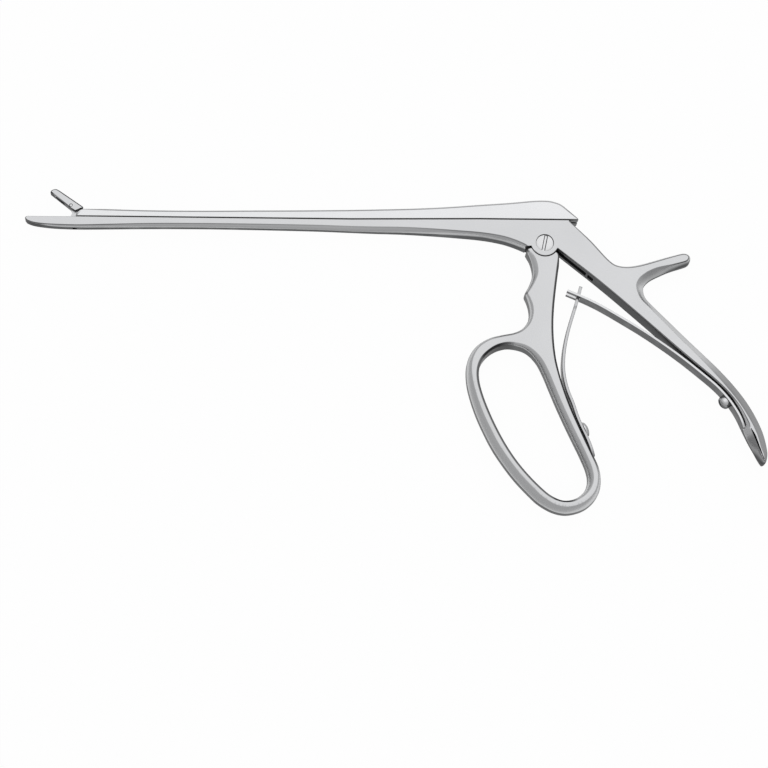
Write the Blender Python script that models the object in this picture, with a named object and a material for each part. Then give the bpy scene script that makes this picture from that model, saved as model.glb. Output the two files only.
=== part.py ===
"""Disc rongeur, lying on its side: jaws at -X, handles at -Y, resting side on Z = 0.

Lengths below are in millimetres. The origin is on the pivot axis at the resting side.
"""
import math

import bmesh
import bpy
from mathutils import Matrix, Vector

MM = 0.001

# Plate and shaft thickness (Z), measured from the middle plane.
MID_Z = 4.0
BODY_HALF = 4.0
SHAFT_HALF = 2.2
FLARE_START_X = -75.0
FLARE_END_X = -25.0

# Clearances between parts that move, and between parts that are fitted together.
MOVE_GAP = 0.3
FIT_GAP = 0.06
RUNNING_GAP = 0.08

# Front end of the shaft, height of the sliding face and of the lower jaw's rim.
NOSE_X = -201.65
SEAT_Y = 9.3
RIM_Y = 9.45
ARC_STEPS = 4

# An edge this wide is round; one wider by the second value is nearly a straight bevel.
ROUND_EDGE = 0.9
BEVEL_EDGE = 1.5
BEVEL_SHARE = 0.7

# Spacing of the points on the curved outlines.
BACK_SPACING = 1.8
HANDLE_SPACING = 2.2
RING_SPACING = 2.4
SLIDE_SPACING = 2.5

# Pivot.
BOSS_R = 5.35
PIVOT_SHANK_R = 2.0
PIVOT_HEAD_R = 3.4
PIVOT_HEAD_H = 1.3
PIVOT_TAIL_R = 2.6
TONGUE_HALF = 1.4
TONGUE_R = 4.9
SLOT_HALF = 1.7

# Lever on the ring handle: its round head pushes the slide, symmetric about the vertical.
LEVER_REACH = 11.9
LEVER_HEAD_R = 2.2
LEVER_HALF_W = 1.5
LEVER_TILT = 6.25
SLIDE_TRAVEL = 2.6

# Jaw hinge and link, at rest.
HINGE = (-181.0, 7.2)
LINK = (-179.1, 10.6)
HINGE_PIN_R = 0.7
LINK_PIN_R = 0.5
LINK_RISE = 0.7
JAW_TONGUE_HALF = 0.8
JAW_SLOT_HALF = 1.1

# Leaf springs.
REAR_SPRING_T = 0.9
REAR_SPRING_HALF_W = 3.2
REAR_FOOT_HALF_W = 2.4
REAR_TAPER = 0.1
FRONT_SPRING_T = 1.2
FRONT_SPRING_HALF_W = 2.7
FRONT_TONGUE_HALF_W = 1.0
FORK_SLOT_HALF_W = 1.45
FORK_SLOT_LENGTH = 7.5

# Cups of the two jaws.
LOWER_CUP_HALF_L = 3.4
LOWER_CUP_R = 1.6
UPPER_CUP_HALF_L = 2.9
UPPER_CUP_R = 1.45

# Fixed body, clockwise from the nose: x, y, edge inset, edge drop.
BODY_TOP = [
    (NOSE_X + 0.85, RIM_Y, 0.15, 0.15),
    (-185.4, RIM_Y, 0.15, 0.15),
    (-185.0, SEAT_Y, 0.12, 0.12),
    (FLARE_START_X, SEAT_Y, 0.12, 0.12),
    (FLARE_END_X, SEAT_Y, 0.12, 0.12),
    (-10.0, SEAT_Y, 0.12, 0.12),
    (11.0, SEAT_Y, 0.2, 0.2),
]
BODY_BACK = [
    (11.3, 9.0, 0.6, 0.5),
    (15.4, 4.15, 0.7, 0.5),
    (18.2, 0.9, 0.7, 0.5),
    (21.0, -2.4, 0.7, 0.5),
    (23.7, -5.6, 0.7, 0.5),
    (25.6, -7.5, 0.7, 0.5),
    (27.4, -8.7, 0.75, 0.6),
    (29.8, -9.3, 0.8, 0.7),
    (33.0, -9.3, 0.9, 0.8),
    (36.9, -8.55, 1.0, 1.0),
    (40.9, -7.4, 1.0, 1.1),
    (44.8, -6.2, 0.95, 1.1),
    (48.8, -5.0, 0.9, 1.1),
    (52.6, -4.0, 0.8, 1.0),
    (54.6, -3.7, 0.8, 1.0),
    (56.2, -4.2, 0.9, 1.3),
    (57.0, -5.3, 1.1, 2.0),
    (56.8, -6.7, 1.3, 3.0),
    (55.8, -7.7, 1.3, 3.4),
    (53.6, -8.5, 1.3, 3.4),
    (49.0, -10.2, 1.8, 3.4),
    (44.8, -12.1, 2.7, 3.4),
    (41.2, -14.0, 3.0, 3.4),
    (39.0, -16.0, 3.3, 3.3),
    (38.2, -18.0, 3.2, 3.2),
    (38.9, -21.2, 2.6, 3.0),
    (41.4, -24.4, 2.3, 2.8),
    (47.6, -30.9, 2.45, 2.8),
    (53.9, -37.4, 2.7, 3.0),
    (60.3, -43.8, 3.05, 3.2),
    (66.6, -50.2, 3.5, 3.4),
    (72.1, -56.6, 3.7, 3.5),
    (76.7, -63.0, 3.7, 3.6),
    (80.2, -69.4, 3.6, 3.7),
    (82.7, -75.8, 3.3, 3.8),
    (83.9, -82.0, 3.0, 3.8),
    (83.8, -85.6, 2.1, 3.7),
    (82.9, -88.2, 1.3, 3.5),
    (81.9, -88.9, 1.1, 3.4),
    (80.9, -88.1, 1.2, 3.5),
    (79.3, -85.2, 1.6, 3.6),
    (77.4, -81.3, 2.8, 3.4),
    (75.9, -78.0, 2.8, 3.2),
    (74.7, -75.0, 2.4, 2.6),
]
BODY_SPRING_SEAT = [
    (75.8, -73.9, 1.6, 1.6),
    (75.3, -71.5, 1.3, 1.1),
    (72.9, -65.9, 0.9, 0.8),
    (68.9, -60.0, 0.6, 0.7),
    (63.2, -54.2, 0.6, 0.7),
    (56.0, -47.8, 0.6, 0.6),
    (48.6, -41.1, 0.6, 0.6),
    (41.1, -34.0, 0.5, 0.5),
    (33.5, -27.0, 0.5, 0.5),
    (25.9, -20.1, 0.5, 0.5),
    (18.1, -13.3, 0.5, 0.5),
    (12.2, -8.35, 0.4, 0.4),
    (5.0, -2.25, 0.25, 0.25),
]
BOSS_ARC_DEG = (-28, -40, -52, -64, -76, -88, -100, -112, -124, -134)
BODY_BOTTOM = [
    (-5.6, -3.15, 1.4, 2.2),
    (-7.6, -2.25, 1.5, 2.4),
    (-9.4, -1.45, 1.7, 2.4),
    (-13.0, 0.0, 1.75, 2.4),
    (-17.5, 1.3, 1.75, 2.4),
    (FLARE_END_X, 2.6, 1.6, 2.4),
    (-36.4, 3.5, 1.7, 2.2),
    (-46.2, 4.05, 1.9, 2.0),
    (-56.0, 4.45, 2.0, 1.8),
    (-66.0, 4.6, 2.0, 1.6),
    (FLARE_START_X, 4.83, 2.0, 1.4),
    (-90.0, 5.32, 1.85, 1.3),
    (-115.0, 5.67, 1.7, 1.3),
    (-134.0, 5.77, 1.6, 1.3),
    (-153.0, 5.62, 1.55, 1.3),
    (-170.0, 5.32, 1.3, 1.3),
    (NOSE_X + 21.15, 5.17, 1.1, 1.3),
    (NOSE_X + 13.45, 5.32, 1.05, 1.3),
    (NOSE_X + 8.65, 5.7, 0.85, 1.3),
    (NOSE_X + 4.65, 6.25, 0.65, 1.3),
    (NOSE_X + 2.35, 6.85, 0.55, 1.2),
    (NOSE_X + 0.85, 7.5, 0.5, 1.1),
    (NOSE_X + 0.15, 8.3, 0.4, 1.0),
    (NOSE_X, 8.9, 0.35, 0.8),
    (NOSE_X + 0.35, 9.3, 0.3, 0.5),
]

# Ring handle, outer loop clockwise from the front shoulder's arc: x, y, inset, drop.
COLLAR_ARC_DEG = (-156, -144, -132, -120, -108, -96, -84, -72, -60, -50, -41)
HANDLE_BACK = [
    (5.0, -4.1, 0.5, 0.4),
    (5.45, -5.4, 0.6, 0.5),
    (5.35, -9.0, 0.7, 0.6),
    (4.85, -12.3, 0.7, 0.6),
    (3.9, -18.9, 0.7, 0.6),
    (3.1, -25.4, 0.7, 0.6),
    (2.6, -31.9, 0.7, 0.6),
    (2.55, -38.4, 0.7, 0.7),
    (3.0, -44.9, 0.7, 0.8),
    (3.9, -50.5, 0.8, 0.9),
    (5.9, -58.6, 0.9, 1.1),
    (8.7, -66.8, 1.0, 1.2),
    (13.4, -77.5, 1.0, 1.3),
    (16.5, -84.5, 1.1, 1.4),
    (18.4, -89.8, 1.2, 1.6),
    (19.2, -94.6, 1.4, 2.0),
    (18.6, -99.2, 1.7, 2.3),
    (16.6, -102.9, 2.0, 2.5),
    (13.3, -105.9, 2.2, 2.6),
    (9.4, -107.6, 2.3, 2.6),
    (5.0, -108.2, 2.4, 2.6),
    (0.3, -107.1, 2.5, 2.6),
    (-4.5, -104.3, 2.7, 2.6),
    (-8.0, -101.1, 2.8, 2.6),
    (-13.6, -94.9, 2.8, 2.6),
    (-18.2, -88.6, 2.8, 2.6),
    (-22.1, -82.3, 2.8, 2.6),
    (-25.2, -75.9, 2.8, 2.6),
    (-27.8, -69.6, 2.7, 2.6),
    (-29.9, -63.0, 2.6, 2.6),
    (-31.2, -56.7, 2.4, 2.5),
    (-31.3, -50.4, 2.1, 2.4),
    (-29.9, -45.7, 1.8, 2.2),
    (-26.9, -41.7, 1.5, 1.9),
    (-22.3, -38.9, 1.3, 1.7),
    (-17.5, -37.6, 1.2, 1.6),
    (-12.8, -36.6, 1.2, 1.7),
    (-9.6, -35.0, 1.3, 1.8),
    (-7.4, -32.2, 1.5, 2.0),
    (-6.5, -29.0, 1.6, 2.1),
    (-6.7, -25.8, 1.7, 2.1),
    (-7.5, -22.9, 1.5, 2.0),
    (-8.2, -21.1, 1.2, 1.9),
    (-8.0, -20.2, 1.2, 1.9),
    (-6.9, -18.2, 1.5, 2.0),
    (-5.7, -15.4, 1.8, 2.1),
    (-5.1, -12.2, 1.9, 2.2),
    (-5.4, -9.0, 1.7, 2.1),
    (-6.4, -6.2, 1.2, 1.7),
    (-7.2, -4.2, 0.8, 1.1),
    (-7.1, -3.1, 0.5, 0.6),
    (-6.5, -2.4, 0.4, 0.4),
    (-5.8, -2.15, 0.3, 0.3),
]
RING_HOLE = [
    (-14.0, -41.7, 1.2, 1.5),
    (-18.4, -42.3, 1.1, 1.3),
    (-22.2, -44.4, 1.0, 1.2),
    (-25.1, -47.7, 0.9, 1.1),
    (-26.5, -51.8, 0.9, 1.0),
    (-26.4, -56.6, 0.85, 1.0),
    (-24.9, -62.6, 0.85, 1.0),
    (-22.5, -69.2, 0.8, 1.0),
    (-19.6, -75.8, 0.8, 1.0),
    (-16.2, -82.3, 0.8, 1.0),
    (-12.2, -88.5, 0.8, 1.0),
    (-7.4, -94.4, 0.8, 1.0),
    (-2.6, -99.3, 0.9, 1.0),
    (0.7, -101.8, 0.9, 1.1),
    (4.6, -103.3, 1.0, 1.2),
    (8.8, -102.7, 1.2, 1.4),
    (12.4, -100.0, 1.6, 1.9),
    (14.2, -95.9, 2.1, 2.3),
    (13.9, -91.4, 2.2, 2.4),
    (11.6, -85.2, 2.2, 2.4),
    (8.6, -78.5, 2.2, 2.4),
    (5.8, -72.1, 2.2, 2.4),
    (3.1, -65.6, 2.2, 2.4),
    (0.6, -59.1, 2.2, 2.4),
    (-1.8, -52.8, 2.2, 2.4),
    (-4.4, -47.5, 2.0, 2.2),
    (-8.4, -43.4, 1.6, 1.9),
]

# Slide, clockwise from the lower front: x, y, inset, drop.
SLIDE_FLOOR_Y = SEAT_Y + MOVE_GAP
SLIDE_NOSE = (-178.95, 9.6, 3.1)
SLIDE_TOP = [
    (-170.0, 12.75, 0.75, 0.5),
    (-153.4, 12.45, 0.75, 0.5),
    (-134.0, 12.5, 0.75, 0.5),
    (-115.0, 12.8, 0.75, 0.5),
    (-95.0, 13.1, 0.75, 0.5),
    (FLARE_START_X, 13.5, 0.75, 0.5),
    (-56.3, 13.85, 0.75, 0.5),
    (-46.5, 14.2, 0.8, 0.5),
    (-36.7, 14.7, 0.8, 0.5),
    (FLARE_END_X, 15.55, 0.8, 0.5),
    (-13.3, 16.5, 0.8, 0.5),
    (-5.4, 17.35, 0.8, 0.5),
    (-1.5, 17.6, 0.8, 0.5),
    (1.8, 17.55, 0.8, 0.5),
    (4.4, 17.0, 0.8, 0.5),
    (6.6, 15.8, 0.8, 0.5),
    (9.8, 13.0, 0.7, 0.5),
    (12.6, 10.5, 0.5, 0.4),
]

# Upper jaw at rest: tip, back edge and rear end round the slide's nose.
JAW_TIP_AND_BACK = [
    (-191.5, 19.05, 0.4, 0.9),
    (-192.1, 19.6, 0.5, 1.2),
    (-191.7, 20.4, 0.6, 1.3),
    (-190.5, 20.85, 0.6, 1.1),
    (-189.2, 20.55, 0.6, 0.8),
    (-186.0, 18.3, 0.6, 0.5),
]
JAW_HEEL = (-179.3, 13.5, 0.5, 0.4)
JAW_RELIEF_R = 3.5
JAW_RELIEF_DEG = (97, 107, 117, 127)
JAW_UNDERSIDE = [
    (-182.35, 11.85, 0.2, 0.2),
    (-183.95, 12.9, 0.2, 0.2),
    (-184.35, 13.45, 0.15, 0.15),
    (-184.65, 13.66, 0.15, 0.15),
]
JAW_CUT_START = (-184.65, 13.66)
JAW_CUT_END = (-191.5, 19.05)
JAW_TONGUE = [
    (-183.7, 7.9),
    (-184.5, 9.0),
    (-184.0, 10.3),
    (-183.5, 11.4),
    (-183.8, 12.3),
    (-184.3, 13.2),
    (-186.4, 15.0),
    (-186.0, 16.3),
    (-184.6, 16.2),
    (-181.4, 13.6),
    (-179.3, 12.4),
    (-177.7, 11.9),
    (-177.35, 10.9),
    (-178.0, 9.8),
    (-178.6, 8.7),
    (-179.45, 7.6),
    (-180.0, 6.2),
    (-181.0, 5.8),
    (-182.0, 6.1),
    (-182.9, 6.9),
]
RIVET = (-184.1, 14.5)
RIVET_R = 0.5
TOOTH_HALF = 0.22

# Centre lines of the springs, from the screw's end to the free end.
REAR_SPRING = [
    (74.9, -73.2),
    (73.6, -69.6),
    (71.6, -65.8),
    (69.0, -61.9),
    (65.3, -57.6),
    (60.5, -53.2),
    (52.6, -46.5),
    (44.9, -40.6),
    (37.2, -35.2),
    (29.5, -30.3),
    (21.7, -25.8),
    (15.8, -22.8),
    (10.2, -20.1),
]
FRONT_SPRING = [
    (17.9, -84.6),
    (16.4, -80.6),
    (14.5, -76.0),
    (13.1, -72.9),
    (11.8, -70.0),
    (9.4, -64.6),
    (7.6, -59.6),
    (6.5, -54.8),
    (6.1, -50.6),
    (6.3, -46.2),
    (7.0, -41.3),
    (8.2, -36.0),
    (9.7, -30.9),
    (11.6, -25.0),
    (13.0, -20.3),
    (14.0, -16.8),
]
# Each screw sits on one of its spring's points, which gives its axis too.
REAR_SCREW_AT = 3
FRONT_SCREW_AT = 3


def clear_scene():
    for obj in list(bpy.data.objects):
        bpy.data.objects.remove(obj, do_unlink=True)


def material(name, colour, roughness):
    mat = bpy.data.materials.new(name)
    mat.use_nodes = True
    shader = mat.node_tree.nodes["Principled BSDF"]
    shader.inputs["Base Color"].default_value = (*colour, 1.0)
    shader.inputs["Metallic"].default_value = 1.0
    shader.inputs["Roughness"].default_value = roughness
    return mat


def half_thickness(x):
    share = (x - FLARE_START_X) / (FLARE_END_X - FLARE_START_X)
    return SHAFT_HALF + (BODY_HALF - SHAFT_HALF) * min(max(share, 0.0), 1.0)


def body_half(x):
    return BODY_HALF


def smooth_run(points, spacing=2.2, closed=False):
    """Catmull-Rom points through the given ones; every control point is kept."""
    count = len(points)
    pieces = count if closed else count - 1
    out = []
    for i in range(pieces):
        if closed:
            p = [points[(i + k) % count] for k in (-1, 0, 1, 2)]
        else:
            p = [points[min(max(i + k, 0), count - 1)] for k in (-1, 0, 1, 2)]
        reach = math.dist(p[1][:2], p[2][:2])
        steps = max(1, min(8, round(reach / spacing)))
        for j in range(steps):
            t = j / steps
            weights = (
                (-t + 2 * t * t - t ** 3) / 2,
                (2 - 5 * t * t + 3 * t ** 3) / 2,
                (t + 4 * t * t - 3 * t ** 3) / 2,
                (-t * t + t ** 3) / 2,
            )
            out.append(tuple(sum(w * q[k] for w, q in zip(weights, p)) for k in range(len(p[0]))))
    if not closed:
        out.append(tuple(points[-1]))
    return out


def straight_run(points, spacing=12.0):
    out = []
    for a, b in zip(points, points[1:]):
        steps = max(1, round(math.dist(a[:2], b[:2]) / spacing))
        out += [tuple(u + (v - u) * j / steps for u, v in zip(a, b)) for j in range(steps)]
    return out + [tuple(points[-1])]


def arc(centre, radius, degrees, inset=0.25, drop=0.25):
    return [
        (
            centre[0] + radius * math.cos(math.radians(d)),
            centre[1] + radius * math.sin(math.radians(d)),
            inset,
            drop,
        )
        for d in degrees
    ]


def inward(loop, i, outer):
    """Unit-depth inward offset of a corner, for a clockwise outer loop."""
    before, here, after = (Vector(loop[(i + k) % len(loop)][:2]) for k in (-1, 0, 1))
    a = (here - before).normalized()
    b = (after - here).normalized()
    normal_a = Vector((a.y, -a.x))
    normal_b = Vector((b.y, -b.x))
    middle = normal_a + normal_b
    middle.normalize()
    scale = 1.0 / max(middle.dot(normal_a), 0.6)
    return middle * scale * (1.0 if outer else -1.0)


def signed_area(loop):
    pairs = zip(loop, loop[1:] + loop[:1])
    return sum(p[0] * q[1] - q[0] * p[1] for p, q in pairs) / 2


def clockwise(loop):
    return loop[::-1] if signed_area(loop) > 0 else loop


def new_object(name, bm, mat):
    bmesh.ops.recalc_face_normals(bm, faces=bm.faces)
    mesh = bpy.data.meshes.new(name)
    bm.to_mesh(mesh)
    bm.free()
    obj = bpy.data.objects.new(name, mesh)
    bpy.context.scene.collection.objects.link(obj)
    if mat:
        mesh.materials.append(mat)
    return obj


def edge_bow(inset):
    """1 for a round edge, towards 2 for a straight bevel."""
    return 1.0 + BEVEL_SHARE * min(max((inset - ROUND_EDGE) / BEVEL_EDGE, 0.0), 1.0)


def edge_rings(bm, loop, half_at, outer):
    """Rings of vertices from the lower cap, round the side, to the upper cap."""
    offsets = [inward(loop, i, outer) for i in range(len(loop))]
    rings = []
    for side in (-1, 1):
        levels = range(ARC_STEPS, -1, -1) if side < 0 else range(ARC_STEPS + 1)
        for level in levels:
            angle = math.pi / 2 * level / ARC_STEPS
            ring = []
            for (x, y, inset, drop), offset in zip(loop, offsets):
                bow = edge_bow(inset)
                px = x + offset.x * inset * (1 - math.cos(angle) ** bow)
                py = y + offset.y * inset * (1 - math.cos(angle) ** bow)
                half = half_at(px)
                depth = min(drop, 0.97 * half)
                pz = MID_Z + side * (half - depth * (1 - math.sin(angle) ** bow))
                ring.append(bm.verts.new((px * MM, py * MM, pz * MM)))
            rings.append(ring)
    count = len(loop)
    for low, high in zip(rings, rings[1:]):
        for i in range(count):
            j = (i + 1) % count
            bm.faces.new((low[i], low[j], high[j], high[i]))
    return rings


def rounded_plate(name, loop, half_at, mat, hole=None, split_x=()):
    """A plate with its own edge rounding at each outline point, and at most one hole."""
    bm = bmesh.new()
    loop = clockwise(loop)
    rings = edge_rings(bm, loop, half_at, True)
    inner = edge_rings(bm, clockwise(hole), half_at, False) if hole else None
    for end in (0, -1):
        if inner:
            loops = [rings[end], inner[end]]
            edges = [
                bm.edges.get((ring[i], ring[(i + 1) % len(ring)]))
                for ring in loops
                for i in range(len(ring))
            ]
            bmesh.ops.triangle_fill(bm, edges=edges, use_beauty=True)
            continue
        cap = rings[end]
        rest = list(range(len(loop)))
        for x in split_x:
            marks = [i for i in rest if abs(loop[i][0] - x) < 1e-6]
            first, last = marks[0], marks[-1]
            between = [i for i in rest if first <= i <= last]
            beyond = [i for i in rest if i <= first or i >= last]
            front = max(loop[i][0] for i in beyond) < x + 1e-6
            small, rest = (beyond, between) if front else (between, beyond)
            bm.faces.new([cap[i] for i in small])
        bm.faces.new([cap[i] for i in rest])
    return new_object(name, bm, mat)


def prism(name, outline, z0, z1, mat=None):
    bm = bmesh.new()
    low = [bm.verts.new((p[0] * MM, p[1] * MM, z0 * MM)) for p in outline]
    high = [bm.verts.new((p[0] * MM, p[1] * MM, z1 * MM)) for p in outline]
    bm.faces.new(low)
    bm.faces.new(high)
    for i in range(len(outline)):
        j = (i + 1) % len(outline)
        bm.faces.new((low[i], low[j], high[j], high[i]))
    return new_object(name, bm, mat)


def box(name, lower, upper, mat=None):
    outline = [(lower[0], lower[1]), (upper[0], lower[1]), (upper[0], upper[1]), (lower[0], upper[1])]
    return prism(name, outline, lower[2], upper[2], mat)


def turned(name, profile, origin, direction, mat=None, segments=48):
    """A solid of revolution; profile is (radius, height) with both ends on the axis."""
    turn = Vector(direction).normalized().to_track_quat("Z", "Y").to_matrix().to_4x4()
    place = Matrix.Translation(Vector(origin) * MM) @ turn
    bm = bmesh.new()
    rings = []
    for radius, height in profile:
        if radius == 0:
            rings.append([bm.verts.new(place @ Vector((0, 0, height * MM)))])
            continue
        ring = []
        for k in range(segments):
            angle = 2 * math.pi * k / segments
            point = Vector((radius * math.cos(angle), radius * math.sin(angle), height)) * MM
            ring.append(bm.verts.new(place @ point))
        rings.append(ring)
    for low, high in zip(rings, rings[1:]):
        for k in range(segments):
            j = (k + 1) % segments
            if len(low) == 1:
                bm.faces.new((low[0], high[j], high[k]))
            elif len(high) == 1:
                bm.faces.new((low[k], low[j], high[0]))
            else:
                bm.faces.new((low[k], low[j], high[j], high[k]))
    return new_object(name, bm, mat)


def cylinder(name, centre, radius, z0, z1, mat=None, segments=48):
    profile = [(0, z0), (radius, z0), (radius, z1), (0, z1)]
    return turned(name, profile, (centre[0], centre[1], 0), (0, 0, 1), mat, segments)


def cup(name, half_length, radius, centre, along):
    """A rounded hollow with its long axis along a jaw's cutting face."""
    shape = ((0, 1), (0.56, 0.94), (0.9, 0.64), (1, 0))
    profile = [(radius * r, -half_length * h) for r, h in shape]
    profile += [(radius * r, half_length * h) for r, h in shape[2::-1]]
    return turned(name, profile, (centre[0], centre[1], MID_Z), (along[0], along[1], 0))


def combine(target, other, operation):
    other.hide_render = True
    other.display_type = "WIRE"
    modifier = target.modifiers.new(other.name, "BOOLEAN")
    modifier.operation = operation
    modifier.solver = "EXACT"
    modifier.object = other


def cut(target, *cutters):
    for cutter in cutters:
        combine(target, cutter, "DIFFERENCE")


def join(target, *others):
    for other in others:
        combine(target, other, "UNION")


def strip(name, centre_line, thickness, half_widths, mat):
    """A leaf along a plane curve; half_widths is (share of length, half width) pairs."""
    points = smooth_run([(x, y) for x, y in centre_line], 3.0)
    lengths = [0.0]
    for a, b in zip(points, points[1:]):
        lengths.append(lengths[-1] + math.dist(a, b))
    total = lengths[-1]

    def at(distance):
        i = max(k for k in range(len(points) - 1) if lengths[k] <= distance + 1e-9)
        share = (distance - lengths[i]) / (lengths[i + 1] - lengths[i])
        a, b = Vector(points[i]), Vector(points[i + 1])
        before = Vector(points[max(i - 1, 0)])
        after = Vector(points[min(i + 2, len(points) - 1)])
        tangent = (b - before).normalized().lerp((after - a).normalized(), share).normalized()
        return a.lerp(b, share), tangent

    stations = sorted(set([v / total for v in lengths] + [s for s, _ in half_widths]))
    bm = bmesh.new()
    rows = []
    for station in stations:
        here, tangent = at(min(station, 1.0) * total)
        normal = Vector((-tangent.y, tangent.x)) * thickness / 2
        pairs = zip(half_widths, half_widths[1:])
        start, end = next((p, q) for p, q in pairs if p[0] <= station <= q[0] and q[0] > p[0])
        share = (station - start[0]) / (end[0] - start[0])
        half = start[1] + (end[1] - start[1]) * share
        corners = ((1, -1), (1, 1), (-1, 1), (-1, -1))
        rows.append(
            [
                bm.verts.new(
                    (
                        (here.x + a * normal.x) * MM,
                        (here.y + a * normal.y) * MM,
                        (MID_Z + b * half) * MM,
                    )
                )
                for a, b in corners
            ]
        )
    for low, high in zip(rows, rows[1:]):
        for k in range(4):
            j = (k + 1) % 4
            bm.faces.new((low[k], low[j], high[j], high[k]))
    bm.faces.new(rows[0])
    bm.faces.new(rows[-1])
    return new_object(name, bm, mat)


def seat_of(centre_line, index, side):
    """Where a screw's axis crosses the spring, and the direction its head faces."""
    tangent = Vector(centre_line[index + 1]) - Vector(centre_line[index - 1])
    tangent.normalize()
    return Vector((*centre_line[index], MID_Z)), Vector((-tangent.y * side, tangent.x * side, 0))


def t_slot(prefix, x0, x1, window):
    """Cutters for a T-slot under the sliding face, with the window its key drops in through."""
    neck = box(prefix + "_neck", (x0, 7.9, MID_Z - 0.8), (x1 + window, 10.4, MID_Z + 0.8))
    head = box(prefix + "_head", (x0, 7.3, MID_Z - 1.5), (x1 + window, 8.5, MID_Z + 1.5))
    drop_in = box(prefix + "_window", (x1, 7.35, MID_Z - 1.45), (x1 + window - 0.1, 10.3, MID_Z + 1.45))
    return neck, head, drop_in


def t_key(prefix, x0, x1):
    neck = box(prefix + "_neck", (x0, 7.9, MID_Z - 0.5), (x1, 10.4, MID_Z + 0.5))
    head = box(prefix + "_head", (x0 + 0.1, 7.65, MID_Z - 1.2), (x1 - 0.1, 8.2, MID_Z + 1.2))
    return neck, head


clear_scene()
satin = material("satin_steel", (0.62, 0.63, 0.64), 0.34)
polished = material("polished_steel", (0.7, 0.71, 0.72), 0.16)

# Fixed body: lower jaw, shaft and palm handle in one forging.
body_loop = straight_run(BODY_TOP)
body_loop += smooth_run(BODY_BACK, BACK_SPACING)
body_loop += smooth_run(BODY_SPRING_SEAT, 3.0)
body_loop += arc((0, 0), BOSS_R, BOSS_ARC_DEG)
body_loop += smooth_run(BODY_BOTTOM, 6.0)
body = rounded_plate(
    "shaft_and_palm_handle",
    body_loop,
    half_thickness,
    satin,
    split_x=(FLARE_START_X, FLARE_END_X),
)
notch = [p[:2] for p in arc((0, 0), BOSS_R, (193.5, 200, 208, 216, 224, 232))]
notch += [(-4.6, -8.0), (-7.6, -8.0), (-7.6, -1.4)]
cut(body, prism("notch_cut", notch, -1, 9))
lever_slot = [
    (-5.4, 11.0),
    (-5.4, -9.0),
    (6.0, -9.0),
    (9.2, -8.0),
    (16.0, -13.6),
    (17.4, -11.6),
    (8.6, -2.8),
    (6.4, 1.0),
    (6.4, 11.0),
]
cut(body, prism("lever_slot_cut", lever_slot, MID_Z - SLOT_HALF, MID_Z + SLOT_HALF))
tip_pocket = [(16.9, -13.9), (20.2, -17.0), (21.4, -15.6), (18.1, -12.5)]
cut(body, prism("spring_tip_pocket_cut", tip_pocket, MID_Z - SLOT_HALF, MID_Z + SLOT_HALF))
cut(body, cylinder("pivot_bore_cut", (0, 0), PIVOT_SHANK_R + FIT_GAP, 1.0, 9.0))
cut(body, cylinder("pivot_head_bore_cut", (0, 0), PIVOT_HEAD_R + 0.12, 8.0 - PIVOT_HEAD_H - FIT_GAP, 9.0))
cut(body, cylinder("pivot_tail_bore_cut", (0, 0), PIVOT_TAIL_R + FIT_GAP, -1.0, 1.1))
for key_name, key_x0, key_x1, window in (("rear_key", -38.0, -27.0, 12.5), ("front_key", -152.0, -141.0, 12.5)):
    cut(body, *t_slot(key_name + "_slot", key_x0 - SLIDE_TRAVEL - MOVE_GAP, key_x1 + MOVE_GAP, window))

# Slot for the jaw tongue, with its drain through the bottom, and the cup of the lower jaw.
jaw_slot = [(-187.2, 11.0), (-187.2, 8.6), (-184.9, 5.9), (-183.0, 5.55), (-180.2, 5.55), (-177.8, 7.5), (-177.8, 11.0)]
cut(body, prism("jaw_slot_cut", jaw_slot, MID_Z - JAW_SLOT_HALF, MID_Z + JAW_SLOT_HALF))
cut(body, box("drain_cut", (-183.3, 3.0, MID_Z - 0.8), (-181.7, 6.0, MID_Z + 0.8)))
cut(body, cup("lower_cup_cut", LOWER_CUP_HALF_L, LOWER_CUP_R, (NOSE_X + 5.05, RIM_Y), (1, 0)))
cut(body, cylinder("hinge_bore_cut", HINGE, HINGE_PIN_R + FIT_GAP, 1.0, 5.9))
rear_seat = seat_of(REAR_SPRING, REAR_SCREW_AT, 1)
cut(
    body,
    turned(
        "rear_screw_bore_cut",
        [(0, -4.2), (1.25, -4.2), (1.25, 2.0), (0, 2.0)],
        *rear_seat,
    ),
)

# Pivot screw: flush slotted head on the upper side, flush riveted tail on the resting side.
screw = turned(
    "pivot_screw",
    [
        (0, 0),
        (PIVOT_TAIL_R, 0),
        (PIVOT_TAIL_R, 0.95),
        (PIVOT_SHANK_R, 0.95),
        (PIVOT_SHANK_R, 8.0 - PIVOT_HEAD_H),
        (PIVOT_HEAD_R, 8.0 - PIVOT_HEAD_H),
        (PIVOT_HEAD_R, 7.85),
        (PIVOT_HEAD_R - 0.2, 8.0),
        (0, 8.0),
    ],
    (0, 0, 0),
    (0, 0, 1),
    polished,
)
slot_lean = math.radians(-12)
slot_along = Vector((-math.sin(slot_lean), math.cos(slot_lean)))
slot_across = Vector((slot_along.y, -slot_along.x))
corners = [slot_along * a * 4 + slot_across * b * 0.42 for a, b in ((1, 1), (1, -1), (-1, -1), (-1, 1))]
cut(screw, prism("pivot_slot_cut", corners, 7.2, 9.0))
cylinder("jaw_hinge_pin", HINGE, HINGE_PIN_R, 1.75, 5.7, polished)

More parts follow.
